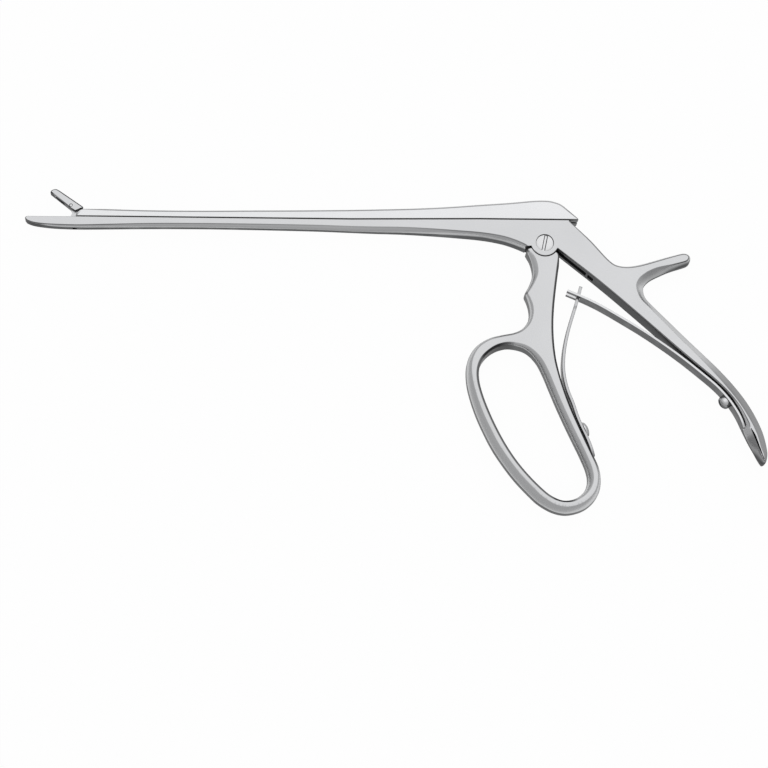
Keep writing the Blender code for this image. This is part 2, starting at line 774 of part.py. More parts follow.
# Ring handle: grip, ring, pivot tongue and lever in one forging.
handle_loop = arc((0, 0), BOSS_R + MOVE_GAP, COLLAR_ARC_DEG) + smooth_run(HANDLE_BACK, HANDLE_SPACING)
handle = rounded_plate(
    "ring_handle",
    handle_loop,
    body_half,
    satin,
    hole=smooth_run(RING_HOLE, RING_SPACING, closed=True),
)
lean = Vector((math.sin(math.radians(LEVER_TILT)), math.cos(math.radians(LEVER_TILT))))
side = Vector((lean.y, -lean.x))
lever_head = lean * LEVER_REACH
lever = [(-4.5, -11.0), (-4.7, -6.0)]
lever += [p[:2] for p in arc((0, 0), TONGUE_R, range(195, 134, -12))]
lever += [tuple(lean * 5.6 - side * (LEVER_HALF_W + 0.6)), tuple(lean * 8.0 - side * LEVER_HALF_W)]
lever += [p[:2] for p in arc(lever_head, LEVER_HEAD_R, range(214, -41, -15))]
lever += [tuple(lean * 8.0 + side * LEVER_HALF_W), tuple(lean * 5.6 + side * (LEVER_HALF_W + 0.6))]
lever += [p[:2] for p in arc((0, 0), TONGUE_R, range(36, -31, -12))]
lever += [(4.2, -6.0), (3.6, -11.0)]
join(handle, prism("lever_core", lever, MID_Z - TONGUE_HALF, MID_Z + TONGUE_HALF))
cut(handle, cylinder("handle_pivot_bore_cut", (0, 0), PIVOT_SHANK_R + RUNNING_GAP, 1.0, 7.0))
front_seat = seat_of(FRONT_SPRING, FRONT_SCREW_AT, -1)
cut(
    handle,
    turned(
        "front_screw_bore_cut",
        [(0, -3.6), (1.25, -3.6), (1.25, 3.0), (0, 3.0)],
        *front_seat,
    ),
)

# Slide on top of the shaft.
slide_loop = arc(SLIDE_NOSE[:2], SLIDE_NOSE[2], (180, 168, 156, 144, 132, 120, 106, 92), 0.35, 0.4)
slide_loop = [(SLIDE_NOSE[0] - SLIDE_NOSE[2], SLIDE_FLOOR_Y, 0.12, 0.12)] + slide_loop[1:]
slide_loop += smooth_run(SLIDE_TOP, SLIDE_SPACING)
slide_loop += [(13.2, 9.95, 0.4, 0.5), (13.1, SLIDE_FLOOR_Y, 0.2, 0.2), (FLARE_END_X, SLIDE_FLOOR_Y, 0.12, 0.12)]
slide_loop += [(FLARE_START_X, SLIDE_FLOOR_Y, 0.12, 0.12)]
slide = rounded_plate(
    "top_slide",
    slide_loop,
    half_thickness,
    satin,
    split_x=(FLARE_START_X, FLARE_END_X),
)
for key_name, key_x0, key_x1 in (("rear_key", -38.0, -27.0), ("front_key", -152.0, -141.0)):
    join(slide, *t_key(key_name, key_x0, key_x1))
pocket_half = LEVER_HEAD_R + MOVE_GAP
lever_pocket = [
    (lever_head.x - pocket_half, 8.0),
    (lever_head.x + pocket_half, 8.0),
    (lever_head.x + pocket_half, 13.6),
    (lever_head.x + pocket_half - 1.2, 14.8),
    (lever_head.x - pocket_half + 1.2, 14.8),
    (lever_head.x - pocket_half, 13.6),
]
cut(slide, prism("lever_pocket_cut", lever_pocket, MID_Z - SLOT_HALF, MID_Z + SLOT_HALF))
cut(slide, box("tail_groove_cut", (9.0, 9.0, MID_Z - 0.7), (14.0, 10.4, MID_Z + 0.7)))
link_slot = [(-183.3, 8.0), (-176.9, 8.0), (-176.9, 14.0), (-183.3, 14.0)]
cut(slide, prism("link_slot_cut", link_slot, MID_Z - JAW_SLOT_HALF, MID_Z + JAW_SLOT_HALF))
cut(slide, cylinder("link_bore_cut", LINK, LINK_PIN_R + FIT_GAP, 1.0, 5.9))
cylinder("jaw_link_pin", LINK, LINK_PIN_R, 1.75, 5.7, polished)

# Upper jaw with its tongue.
jaw_loop = smooth_run(JAW_TIP_AND_BACK, 1.2) + [JAW_HEEL]
jaw_loop += arc(SLIDE_NOSE[:2], JAW_RELIEF_R, JAW_RELIEF_DEG, 0.2, 0.2)
jaw_loop += JAW_UNDERSIDE
jaw = rounded_plate("upper_jaw", jaw_loop, half_thickness, satin)
cut_along = (Vector(JAW_CUT_END) - Vector(JAW_CUT_START)).normalized()
cup_centre = Vector(JAW_CUT_START) + cut_along * 5.2
cut(jaw, cup("upper_cup_cut", UPPER_CUP_HALF_L, UPPER_CUP_R, cup_centre, cut_along))
for k in range(3):
    foot = Vector(JAW_CUT_START) + cut_along * (5.4 + 0.8 * k)
    out = Vector((-cut_along.y, cut_along.x)) * -1
    tooth_end = cut_along * TOOTH_HALF
    tooth = [foot - tooth_end - out * 0.3, foot + out * TOOTH_HALF, foot + tooth_end - out * 0.3]
    cut(jaw, prism("tooth_cut_%d" % k, tooth, 1.0, 7.0))
jaw_tongue_slot = [(-188.2, 13.0), (-188.2, 17.1), (-184.2, 17.1), (-177.0, 12.4), (-177.0, 9.0), (-184.4, 9.0)]
cut(jaw, prism("jaw_tongue_slot_cut", jaw_tongue_slot, MID_Z - JAW_TONGUE_HALF - FIT_GAP, MID_Z + JAW_TONGUE_HALF + FIT_GAP))
cut(jaw, cylinder("rivet_bore_cut", RIVET, RIVET_R + FIT_GAP, 1.0, 7.0))
tongue = prism(
    "jaw_tongue",
    smooth_run(JAW_TONGUE, 1.2, closed=True),
    MID_Z - JAW_TONGUE_HALF,
    MID_Z + JAW_TONGUE_HALF,
    satin,
)
cut(tongue, cylinder("tongue_hinge_bore_cut", HINGE, HINGE_PIN_R + RUNNING_GAP, 1.0, 7.0))
reach = Vector(LINK) - Vector(HINGE)
radial = reach.normalized()
sideways = Vector((radial.y, -radial.x)) * (LINK_PIN_R + MOVE_GAP)
outer_end = Vector(HINGE) + radial * (reach.length + LINK_PIN_R + 0.2)
inner_end = Vector(HINGE) + radial * (reach.length - LINK_RISE - LINK_PIN_R - 0.2)
link_hole = [outer_end + sideways, outer_end - sideways, inner_end - sideways, inner_end + sideways]
cut(tongue, prism("tongue_link_slot_cut", link_hole, 1.0, 7.0))
cut(tongue, cylinder("tongue_rivet_bore_cut", RIVET, RIVET_R + FIT_GAP, 1.0, 7.0))
cylinder("jaw_rivet", RIVET, RIVET_R, 1.85, 6.15, polished)

# Springs and their screws.
rear_spring = strip(
    "rear_leaf_spring",
    REAR_SPRING,
    REAR_SPRING_T,
    [
        (0.0, REAR_FOOT_HALF_W),
        (0.02, 3.0),
        (0.05, REAR_SPRING_HALF_W),
        (1.0, REAR_SPRING_HALF_W - REAR_TAPER),
    ],
    polished,
)
tip = Vector(REAR_SPRING[-1])
along = (tip - Vector(REAR_SPRING[-2])).normalized()
across = Vector((-along.y, along.x))
fork_ends = (tip - along * FORK_SLOT_LENGTH, tip + along * 2)
fork = [fork_ends[0] - across * 2, fork_ends[0] + across * 2, fork_ends[1] + across * 2, fork_ends[1] - across * 2]
cut(rear_spring, prism("fork_slot_cut", fork, MID_Z - FORK_SLOT_HALF_W, MID_Z + FORK_SLOT_HALF_W))
front_spring = strip(
    "front_leaf_spring",
    FRONT_SPRING,
    FRONT_SPRING_T,
    [
        (0.0, 1.6),
        (0.015, 2.3),
        (0.04, FRONT_SPRING_HALF_W),
        (0.5, FRONT_SPRING_HALF_W),
        (0.86, 2.0),
        (0.885, FRONT_TONGUE_HALF_W),
        (0.99, FRONT_TONGUE_HALF_W),
        (1.0, 0.6),
    ],
    polished,
)
for spring, seat, name, radius, height, thickness in (
    (rear_spring, rear_seat, "rear_spring_screw", 2.5, 1.35, REAR_SPRING_T),
    (front_spring, front_seat, "front_spring_screw", 2.8, 1.3, FRONT_SPRING_T),
):
    base, axis = seat
    under = thickness / 2 + 0.12
    cut(spring, turned(name + "_hole_cut", [(0, -3), (1.3, -3), (1.3, 3), (0, 3)], base, axis))
    dome = [
        (0, -3.2),
        (1.0, -3.2),
        (1.0, under),
        (radius, under),
        (radius, under + 0.3),
        (radius * 0.85, under + height * 0.62),
        (radius * 0.55, under + height * 0.9),
        (0, under + height),
    ]
    head = turned(name, dome, base, axis, polished)
    tangent = Vector((-axis.y, axis.x, 0))
    top = base + axis * (under + height - 0.55)
    lower = top - tangent * 0.35
    upper = top + tangent * 0.35
    slot = [lower, upper, upper + axis * 2, lower + axis * 2]
    cut(head, prism(name + "_slot_cut", [p.to_2d() for p in slot], MID_Z - 4, MID_Z + 4))
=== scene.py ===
import math

import bmesh
import bpy
from mathutils import Matrix, Vector
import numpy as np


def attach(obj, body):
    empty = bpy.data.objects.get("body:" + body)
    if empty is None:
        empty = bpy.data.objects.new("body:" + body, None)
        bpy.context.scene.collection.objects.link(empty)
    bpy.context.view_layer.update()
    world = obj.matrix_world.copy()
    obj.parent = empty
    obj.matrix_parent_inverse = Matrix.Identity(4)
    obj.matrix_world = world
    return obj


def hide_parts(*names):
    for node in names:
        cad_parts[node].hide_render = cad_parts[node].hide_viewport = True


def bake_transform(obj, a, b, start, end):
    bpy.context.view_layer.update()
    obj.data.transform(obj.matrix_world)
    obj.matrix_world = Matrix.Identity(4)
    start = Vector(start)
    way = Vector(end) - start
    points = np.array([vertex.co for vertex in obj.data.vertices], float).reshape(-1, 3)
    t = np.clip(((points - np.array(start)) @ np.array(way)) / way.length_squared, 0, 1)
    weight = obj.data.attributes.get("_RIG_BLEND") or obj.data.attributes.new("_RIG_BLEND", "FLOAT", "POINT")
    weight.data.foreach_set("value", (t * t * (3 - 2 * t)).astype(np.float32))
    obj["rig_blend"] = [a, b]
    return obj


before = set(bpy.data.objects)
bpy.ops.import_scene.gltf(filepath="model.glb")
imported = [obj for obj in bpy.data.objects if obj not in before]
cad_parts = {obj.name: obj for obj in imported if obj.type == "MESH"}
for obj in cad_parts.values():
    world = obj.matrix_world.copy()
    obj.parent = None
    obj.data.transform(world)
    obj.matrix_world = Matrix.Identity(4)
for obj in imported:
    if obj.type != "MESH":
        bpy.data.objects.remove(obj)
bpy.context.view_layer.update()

# The shaft, lower jaw, body and palm handle are one stainless forging, milled flat on both
# sides and ground to a fine satin. Its lower edge is rounded over the whole thickness, and
# slots are milled in its middle plane for the lever, the slide's keys and the jaw's tongue.
MM = 0.001
MID_Z = 4.0
BODY_HALF = 4.0
SHAFT_HALF = 2.2
FLARE_START_X = -75.0
FLARE_END_X = -25.0
NOSE_X = -201.65
SEAT_Y = 9.5
RIM_Y = 9.45
MOVE_GAP = 0.3
BOSS_R = 5.35
SLOT_HALF = 1.7
JAW_SLOT_HALF = 1.1
PIVOT_SHANK_R = 2.0
PIVOT_HEAD_R = 3.4
PIVOT_TAIL_R = 2.6
FIT_GAP = 0.06
HEAD_GAP = 0.12
HEAD_SEAT_Z = 6.64
TAIL_SEAT_Z = 1.1
BELOW_Z = -1.0
ABOVE_Z = 9.0
# A point of an outline is x, y, and how far its rounded edge reaches inwards and down.
BODY_TOP = [
    (NOSE_X + 0.85, RIM_Y, 0.15, 0.15), (-185.4, RIM_Y, 0.15, 0.15), (-185.0, SEAT_Y, 0.12, 0.12),
    (FLARE_START_X, SEAT_Y, 0.22, 0.25), (FLARE_END_X, SEAT_Y, 0.22, 0.25), (-10.0, SEAT_Y, 0.22, 0.25),
    (9.65, SEAT_Y, 0.2, 0.2),
]
BODY_BACK = [
    (9.95, 9.05, 0.4, 0.4), (15.0, 4.15, 0.6, 0.5), (18.2, 0.9, 0.7, 0.5),
    (21.0, -2.4, 0.7, 0.5), (23.7, -5.6, 0.7, 0.5), (25.6, -7.5, 0.7, 0.5),
    (27.4, -8.7, 0.75, 0.6), (29.8, -9.3, 0.8, 0.7), (33.0, -9.3, 0.9, 0.8),
    (36.9, -8.55, 1.0, 1.0), (40.9, -7.4, 1.0, 1.1), (44.8, -6.2, 0.95, 1.1),
    (48.8, -5.0, 0.9, 1.1), (52.6, -4.0, 0.8, 1.0), (54.6, -3.7, 0.8, 1.0),
    (56.2, -4.2, 0.9, 1.3), (57.0, -5.3, 1.1, 2.0), (56.8, -6.7, 1.3, 3.0),
    (55.8, -7.7, 1.3, 3.4), (53.6, -8.5, 1.3, 3.4), (49.0, -10.2, 1.8, 3.4),
    (44.8, -12.1, 2.7, 3.4), (41.2, -14.0, 3.0, 3.4), (39.0, -16.0, 3.3, 3.3),
    (38.2, -18.0, 3.2, 3.2), (38.9, -21.2, 2.6, 3.0), (41.4, -24.4, 2.3, 2.8),
    (47.6, -30.9, 2.45, 2.8), (53.9, -37.4, 2.7, 3.0), (60.3, -43.8, 3.05, 3.2),
    (66.6, -50.2, 3.5, 3.4), (72.1, -56.6, 3.7, 3.5), (76.7, -63.0, 3.7, 3.6),
    (80.2, -69.4, 3.6, 3.7), (82.7, -75.8, 3.3, 3.8), (83.9, -82.0, 3.0, 3.8),
    (83.8, -85.2, 2.1, 3.7), (83.0, -87.5, 1.3, 3.5), (82.0, -88.2, 1.1, 3.4),
    (81.0, -87.5, 1.2, 3.5), (79.3, -84.9, 1.7, 3.7), (77.4, -81.3, 2.8, 3.6),
    (75.9, -78.0, 3.2, 3.4), (74.4, -73.9, 2.4, 2.5),
]
BODY_SPRING_SEAT = [
    (75.6, -73.3, 1.8, 1.7), (75.3, -71.5, 1.3, 1.1), (72.9, -65.9, 0.9, 0.8),
    (68.9, -60.0, 0.6, 0.7), (63.2, -54.2, 0.6, 0.7), (56.0, -47.8, 0.6, 0.6),
    (48.6, -41.1, 0.6, 0.6), (41.1, -34.0, 0.5, 0.5), (33.5, -27.0, 0.5, 0.5),
    (25.9, -20.1, 0.5, 0.5), (18.1, -13.3, 0.5, 0.5), (12.2, -8.35, 0.4, 0.4),
    (5.0, -2.25, 0.25, 0.25),
]
BOSS_ARC_DEG = (-28, -40, -52, -64, -76, -88, -100, -112, -124, -134)
BODY_BOTTOM = [
    (-5.6, -3.15, 1.4, 2.2), (-7.6, -2.25, 1.5, 2.4), (-9.4, -1.45, 1.7, 2.4),
    (-13.0, 0.0, 1.75, 2.4), (-17.5, 1.3, 1.75, 2.4), (FLARE_END_X, 2.6, 1.6, 2.4),
    (-36.4, 3.5, 1.7, 2.2), (-46.2, 4.05, 1.9, 2.0), (-56.0, 4.45, 2.0, 1.8),
    (-66.0, 4.6, 2.0, 1.6), (FLARE_START_X, 4.83, 2.0, 1.4), (-90.0, 5.32, 1.85, 1.3),
    (-115.0, 5.67, 1.7, 1.3), (-134.0, 5.77, 1.6, 1.3), (-153.0, 5.62, 1.55, 1.3),
    (-170.0, 5.32, 1.3, 1.3), (NOSE_X + 21.15, 5.17, 1.1, 1.3), (NOSE_X + 13.45, 5.32, 1.05, 1.3),
    (NOSE_X + 8.65, 5.7, 0.85, 1.3), (NOSE_X + 4.65, 6.25, 0.65, 1.3), (NOSE_X + 2.35, 6.85, 0.55, 1.2),
    (NOSE_X + 0.85, 7.5, 0.5, 1.1), (NOSE_X + 0.15, 8.3, 0.4, 1.0), (NOSE_X, 8.9, 0.35, 0.8),
    (NOSE_X + 0.35, 9.3, 0.3, 0.5),
]
LEVER_SLOT = [
    (-5.4, 11.0), (-5.4, -9.0), (6.0, -9.0),
    (9.2, -8.0), (15.2, -12.85), (16.6, -10.85),
    (8.6, -2.8), (6.4, 1.0), (6.4, 11.0),
]
TIP_POCKET = [(16.0, -13.0), (18.0, -14.9), (19.2, -13.5), (17.2, -11.6)]
NOTCH_ARC_DEG = (193.5, 232)
NOTCH_CORNERS = [(-4.6, -8.0), (-7.6, -8.0), (-7.6, -1.4)]
JAW_SLOT = [
    (-187.2, 11.0), (-187.2, 8.6), (-184.9, 5.9),
    (-183.0, 5.55), (-180.2, 5.55), (-177.8, 7.5),
    (-177.8, 11.0),
]
DRAIN_X = (-183.3, -181.7)
DRAIN_Y = (3.0, 6.0)
DRAIN_HALF_W = 0.8
LOWER_CUP_X = NOSE_X + 5.05
HALF_CUP = [(0, -3.4), (0.5, -3.37), (0.9, -3.2), (1.25, -2.75), (1.45, -2.2), (1.57, -1.1), (1.6, 0)]
ARC_STEP_DEG = 4
DEEPEST_EDGE = 0.985
# Edges rounded less than this get bright steel painted on, as wear and as a painted highlight.
WEAR_AND_HIGHLIGHT_DROP = 1.2
GRAZING_TINT = (0.65, 0.65, 0.65, 1.0)
WORN_AND_HIGHLIGHT_STEEL = (0.9, 0.9, 0.9, 1.0)


def fade(value, full, none):
    """1 at the first limit and past it, 0 at the second, straight in between."""
    return min(max((value - none) / (full - none), 0.0), 1.0)


def half_thickness(x):
    """The shaft's half thickness, which flares out to the body's."""
    return SHAFT_HALF + (BODY_HALF - SHAFT_HALF) * fade(x, FLARE_END_X, FLARE_START_X)


def smooth_run(points, spacing=0.6, closed=False):
    """A smooth curve through the points, which carries their edge rounding along."""
    around = points[-1:] + points + points[:2] if closed else points[:1] + points + points[-1:]
    out = []
    for i in range(len(around) - 3):
        p = around[i:i + 4]
        reach = math.dist(p[1][:2], p[2][:2])
        steps = max(1, min(30, round(reach / spacing)))
        for j in range(steps):
            t = j / steps
            weights = (
                (-t + 2 * t * t - t ** 3) / 2,
                (2 - 5 * t * t + 3 * t ** 3) / 2,
                (t + 4 * t * t - 3 * t ** 3) / 2,
                (-t * t + t ** 3) / 2,
            )
            out.append(tuple(sum(w * q[k] for w, q in zip(weights, p)) for k in range(len(p[0]))))
    if not closed:
        out.append(tuple(points[-1]))
    return out


def straight_run(points, spacing=2.0):
    """Straight stretches between the points, at an even spacing."""
    out = []
    for a, b in zip(points, points[1:]):
        steps = max(1, round(math.dist(a[:2], b[:2]) / spacing))
        out += [tuple(u + (v - u) * j / steps for u, v in zip(a, b)) for j in range(steps)]
    return out + [tuple(points[-1])]


def arc(centre, radius, degrees, inset=0.25, drop=0.25):
    """Points of an arc, each with its edge rounding."""
    turns = [math.radians(d) for d in degrees]
    places = [(centre[0] + radius * math.cos(a), centre[1] + radius * math.sin(a)) for a in turns]
    return [(x, y, inset, drop) for x, y in places]


def fine_arc(centre, radius, degrees, inset=0.25, drop=0.25):
    span = degrees[-1] - degrees[0]
    steps = max(2, round(abs(span) / ARC_STEP_DEG))
    return arc(centre, radius, [degrees[0] + span * k / steps for k in range(steps + 1)], inset, drop)


def plain(points):
    """The places alone, without edge rounding."""
    return [tuple(p[:2]) for p in points]


def clockwise(loop):
    pairs = zip(loop, loop[1:] + loop[:1])
    return loop[::-1] if sum(p[0] * q[1] - q[0] * p[1] for p, q in pairs) > 0 else loop


def inward(loop, i, outer):
    """The way in from a point of a clockwise outline, longer at a corner."""
    before, here, after = (Vector(loop[(i + k) % len(loop)][:2]) for k in (-1, 0, 1))
    a = (here - before).normalized()
    b = (after - here).normalized()
    normal_a = Vector((a.y, -a.x))
    middle = normal_a + Vector((b.y, -b.x))
    middle.normalize()
    return middle / max(middle.dot(normal_a), 0.6) * (1.0 if outer else -1.0)


def edge_bow(inset):
    """1 for a round edge, towards 1.7 for one so wide that it is nearly a straight bevel."""
    return 1.0 + 0.7 * fade(inset, 2.4, 0.9)


def edge_shade_share(inset, drop, level, steps, thin):
    """How much painted shade an edge gets: a dark line inside the face's rim, or a thin edge over its whole
    width.
    """
    if level == steps:
        return 0.0
    if thin:
        return fade(inset, 1.1, 1.3)
    rim = fade(inset, 1.3, 2.3) * fade(drop, 3.45, 3.55) if level == steps - 1 else 0.0
    deep = 0.5 * fade(drop, 3.5, 3.2)
    slim = (0.7 if level else 0.45) * fade(inset, 0.7, 0.85)
    return max(deep, slim, rim)


def bridge(bm, low, high):
    """Faces between two rings of vertices."""
    for i in range(len(low)):
        j = (i + 1) % len(low)
        bm.faces.new((low[i], low[j], high[j], high[i]))


def edge_rings(bm, loop, half_at, outer, steps, thin):
    """Rings of vertices that round an outline's edges, from the lower face to the upper one."""
    edge_layer = bm.verts.layers.float["edge"]
    edge_shade_layer = bm.verts.layers.float["edge_shade"]
    offsets = [inward(loop, i, outer) for i in range(len(loop))]
    rings = []
    for side in (-1, 1):
        levels = range(steps, -1, -1) if side < 0 else range(steps + 1)
        for level in levels:
            angle = math.pi / 2 * level / steps
            ring = []
            for (x, y, inset, drop), offset in zip(loop, offsets):
                bow = edge_bow(inset)
                px = x + offset.x * inset * (1 - math.cos(angle) ** bow)
                py = y + offset.y * inset * (1 - math.cos(angle) ** bow)
                half = half_at(px)
                depth = min(drop, DEEPEST_EDGE * half)
                pz = MID_Z + side * (half - depth * (1 - math.sin(angle) ** bow))
                vert = bm.verts.new((px * MM, py * MM, pz * MM))
                # Where bright steel is painted on the edge, as wear and as a painted highlight.
                vert[edge_layer] = math.sin(2 * angle) * max(0.0, WEAR_AND_HIGHLIGHT_DROP - drop)
                # Painted shade: how far this point of the edge is darkened.
                vert[edge_shade_layer] = edge_shade_share(inset, drop, level, steps, thin)
                ring.append(vert)
            rings.append(ring)
    for low, high in zip(rings, rings[1:]):
        bridge(bm, low, high)
    return rings


def link_mesh(name, bm):
    bmesh.ops.recalc_face_normals(bm, faces=bm.faces)
    mesh = bpy.data.meshes.new(name)
    bm.to_mesh(mesh)
    bm.free()
    obj = bpy.data.objects.new(name, mesh)
    bpy.context.scene.collection.objects.link(obj)
    return obj


def rounded_plate(name, loop, half_at, hole=None, steps=6, split_x=(), thin=False):
    """A plate whose edge rounding is given point by point, with at most one hole."""
    bm = bmesh.new()
    bm.verts.layers.float.new("edge")
    bm.verts.layers.float.new("edge_shade")
    loop = clockwise(loop)
    rings = edge_rings(bm, loop, half_at, True, steps, thin)
    inner = edge_rings(bm, clockwise(hole), half_at, False, steps, thin) if hole else None
    for end in (0, -1):
        if inner:
            loops = (rings[end], inner[end])
            edges = [bm.edges.get(pair) for ring in loops for pair in zip(ring, ring[1:] + ring[:1])]
            bmesh.ops.triangle_fill(bm, edges=edges, use_beauty=True)
            continue
        rest = list(range(len(loop)))
        for x in split_x:
            marks = [i for i in rest if abs(loop[i][0] - x) < 1e-6]
            between = [i for i in rest if marks[0] <= i <= marks[-1]]
            beyond = [i for i in rest if i <= marks[0] or i >= marks[-1]]
            front = max(loop[i][0] for i in beyond) < x + 1e-6
            small, rest = (beyond, between) if front else (between, beyond)
            bm.faces.new([rings[end][i] for i in small])
        bm.faces.new([rings[end][i] for i in rest])
    return link_mesh(name, bm)


def prism(name, outline, z0, z1):
    bm = bmesh.new()
    low, high = ([bm.verts.new((p[0] * MM, p[1] * MM, z * MM)) for p in outline] for z in (z0, z1))
    bm.faces.new(low)
    bm.faces.new(high)
    bridge(bm, low, high)
    return link_mesh(name, bm)


def box(name, lower, upper):
    (x0, y0, z0), (x1, y1, z1) = lower, upper
    return prism(name, [(x0, y0), (x1, y0), (x1, y1), (x0, y1)], z0, z1)


def turned(name, profile, origin, direction, segments=64):
    """A lathe-turned solid; profile is (radius, height) from axis to axis."""
    turn = Vector(direction).normalized().to_track_quat("Z", "Y").to_matrix().to_4x4()
    place = Matrix.Translation(Vector(origin) * MM) @ turn
    bm = bmesh.new()
    rings = []
    for radius, height in profile:
        count = segments if radius > 0 else 1
        angles = [2 * math.pi * k / segments for k in range(count)]
        points = [Vector((radius * math.cos(a), radius * math.sin(a), height)) * MM for a in angles]
        rings.append([bm.verts.new(place @ p) for p in points])
    for low, high in zip(rings, rings[1:]):
        for k in range(segments):
            j = (k + 1) % segments
            if len(low) == 1:
                bm.faces.new((low[0], high[j], high[k]))
            elif len(high) == 1:
                bm.faces.new((low[k], low[j], high[0]))
            else:
                bm.faces.new((low[k], low[j], high[j], high[k]))
    return link_mesh(name, bm)


def cylinder(name, centre, radius, z0, z1):
    return turned(name, [(0, z0), (radius, z0), (radius, z1), (0, z1)], (*centre, 0), (0, 0, 1))


def machine(obj, face_material, cutters=(), additions=()):
    """Adds and cuts features for good; a cutter with no material leaves its faces dark, as painted shade in
    the recess.
    """
    obj.data.materials.append(face_material)
    for tool in additions:
        tool.data.materials.append(face_material)
    for tool in cutters:
        if not tool.data.materials:
            # Painted shade: the cut faces of a recess take the dark material.
            tool.data.materials.append(recess_shade_steel)
    for tools, operation in ((additions, "UNION"), (cutters, "DIFFERENCE")):
        for tool in tools:
            step = obj.modifiers.new("step", "BOOLEAN")
            step.operation = operation
            step.solver = "EXACT"
            step.material_mode = "TRANSFER"
            step.object = tool
    keep_mesh(obj)
    for tool in (*cutters, *additions):
        bpy.data.objects.remove(tool, do_unlink=True)


def keep_mesh(obj):
    """Turns what the modifiers make into the object's own mesh, and drops them."""
    graph = bpy.context.evaluated_depsgraph_get()
    graph.update()
    mesh = bpy.data.meshes.new_from_object(obj.evaluated_get(graph))
    obj.modifiers.clear()
    obj.data = mesh


def finish_surface(obj, angle=32.0):
    """Smooth shading that keeps the milled corners sharp and the flat faces flat."""
    obj.data.polygons.foreach_set("use_smooth", [True] * len(obj.data.polygons))
    obj.data.set_sharp_from_angle(angle=math.radians(angle))
    weighted = obj.modifiers.new("flat faces stay flat", "WEIGHTED_NORMAL")
    weighted.keep_sharp = True
    weighted.weight = 100


def new_group(name, inputs, outputs):
    """A shader node group with named numbers in and masks out."""
    group = bpy.data.node_groups.new(name, "ShaderNodeTree")
    for label, value in inputs.items():
        socket = group.interface.new_socket(name=label, in_out="INPUT", socket_type="NodeSocketFloat")
        socket.default_value = value
    for label in outputs:
        group.interface.new_socket(name=label, in_out="OUTPUT", socket_type="NodeSocketFloat")
    return group, group.nodes.new("NodeGroupInput").outputs, group.nodes.new("NodeGroupOutput").inputs


def node(tree, kind, inputs=(), **settings):
    """Adds a node, sets it up, then fills or links its inputs."""
    made = tree.nodes.new(kind)
    for key, value in settings.items():
        setattr(made, key, value)
    for key, value in dict(inputs).items():
        if isinstance(value, bpy.types.NodeSocket):
            tree.links.new(value, made.inputs[key])
        else:
            made.inputs[key].default_value = value
    return made


def math_node(tree, operation, *values, clamp=False):
    made = node(tree, "ShaderNodeMath", enumerate(values), operation=operation, use_clamp=clamp)
    return made.outputs[0]


def noise(tree, place, scale, detail):
    made = node(tree, "ShaderNodeTexNoise", {"Vector": place, "Scale": scale, "Detail": detail})
    return made.outputs["Fac"]


def colour_mix(tree, share, first, second):
    made = node(tree, "ShaderNodeMix", {"Factor": share, "A": first, "B": second}, data_type="RGBA")
    return made.outputs["Result"]


def shade(colour, level=1.0):
    return (*[min(1.0, c * level) for c in colour], 1.0)


def build_grain():
    """Fine grinding lines along a piece, and the soft clouding of a hand-finished face."""
    counts = {"Along": 250.0, "Across": 5200.0, "Turn": 0.0, "Cloud": 45.0}
    group, given, out = new_group("satin grain", counts, ("Lines", "Clouds"))
    place = node(group, "ShaderNodeTexCoord").outputs["Object"]
    turn = {"Vector": place, "Angle": given["Turn"]}
    lined_up = node(group, "ShaderNodeVectorRotate", turn, rotation_type="Z_AXIS")
    stretch = {"X": given["Along"], "Y": given["Across"], "Z": given["Across"]}
    stretch = node(group, "ShaderNodeCombineXYZ", stretch)
    pair = enumerate((lined_up.outputs[0], stretch.outputs[0]))
    scaled = node(group, "ShaderNodeVectorMath", pair, operation="MULTIPLY")
    group.links.new(noise(group, scaled.outputs[0], 1.0, 3.0), out["Lines"])
    group.links.new(noise(group, place, given["Cloud"], 4.0), out["Clouds"])
    return group


def build_edge_wear_and_highlight():
    """Edges painted bright, as rubbed by handling and as a painted highlight, broken up by fine noise."""
    group, given, out = new_group("edge wear and painted highlight", {"Amount": 0.6, "Break": 700.0}, ("Mask",))
    wear_and_highlight = node(group, "ShaderNodeAttribute", attribute_name="edge").outputs["Fac"]
    place = node(group, "ShaderNodeTexCoord").outputs["Object"]
    broken = math_node(group, "MULTIPLY_ADD", noise(group, place, given["Break"], 2.0), 0.9, 0.45)
    mask = math_node(group, "MULTIPLY", wear_and_highlight, broken)
    mask = math_node(group, "MULTIPLY", mask, given["Amount"], clamp=True)
    group.links.new(mask, out["Mask"])
    return group


def build_lean_shade_mask():
    """Marks what leans away from the plate's plane, where the sides get painted shade."""
    # Painted shade: the more a face leans, the darker its colour; noise breaks the shade up.
    limits = {"Flat": 0.60, "Steep": 0.12, "Shade Breakup": 160.0, "Shade Breakup Amount": 0.5}
    group, given, out = new_group("painted shade on leaning sides", limits, ("Mask",))
    normal = node(group, "ShaderNodeNewGeometry").outputs["Normal"]
    parts = node(group, "ShaderNodeSeparateXYZ", {"Vector": normal})
    upright = math_node(group, "ABSOLUTE", parts.outputs["Z"])
    leaning = {"Value": upright, "From Min": given["Flat"], "From Max": given["Steep"]}
    leaning = node(group, "ShaderNodeMapRange", leaning, interpolation_type="SMOOTHSTEP")
    place = node(group, "ShaderNodeTexCoord").outputs["Object"]
    centred = math_node(group, "SUBTRACT", noise(group, place, given["Shade Breakup"], 3.0), 0.5)
    shade_breakup = math_node(group, "MULTIPLY", centred, given["Shade Breakup Amount"])
    kept = math_node(group, "ADD", shade_breakup, 1.0)
    mask = math_node(group, "MULTIPLY", leaning.outputs["Result"], kept, clamp=True)
    group.links.new(mask, out["Mask"])
    return group


GRAIN = build_grain()
EDGE_WEAR_AND_HIGHLIGHT = build_edge_wear_and_highlight()
LEAN_SHADE_MASK = build_lean_shade_mask()


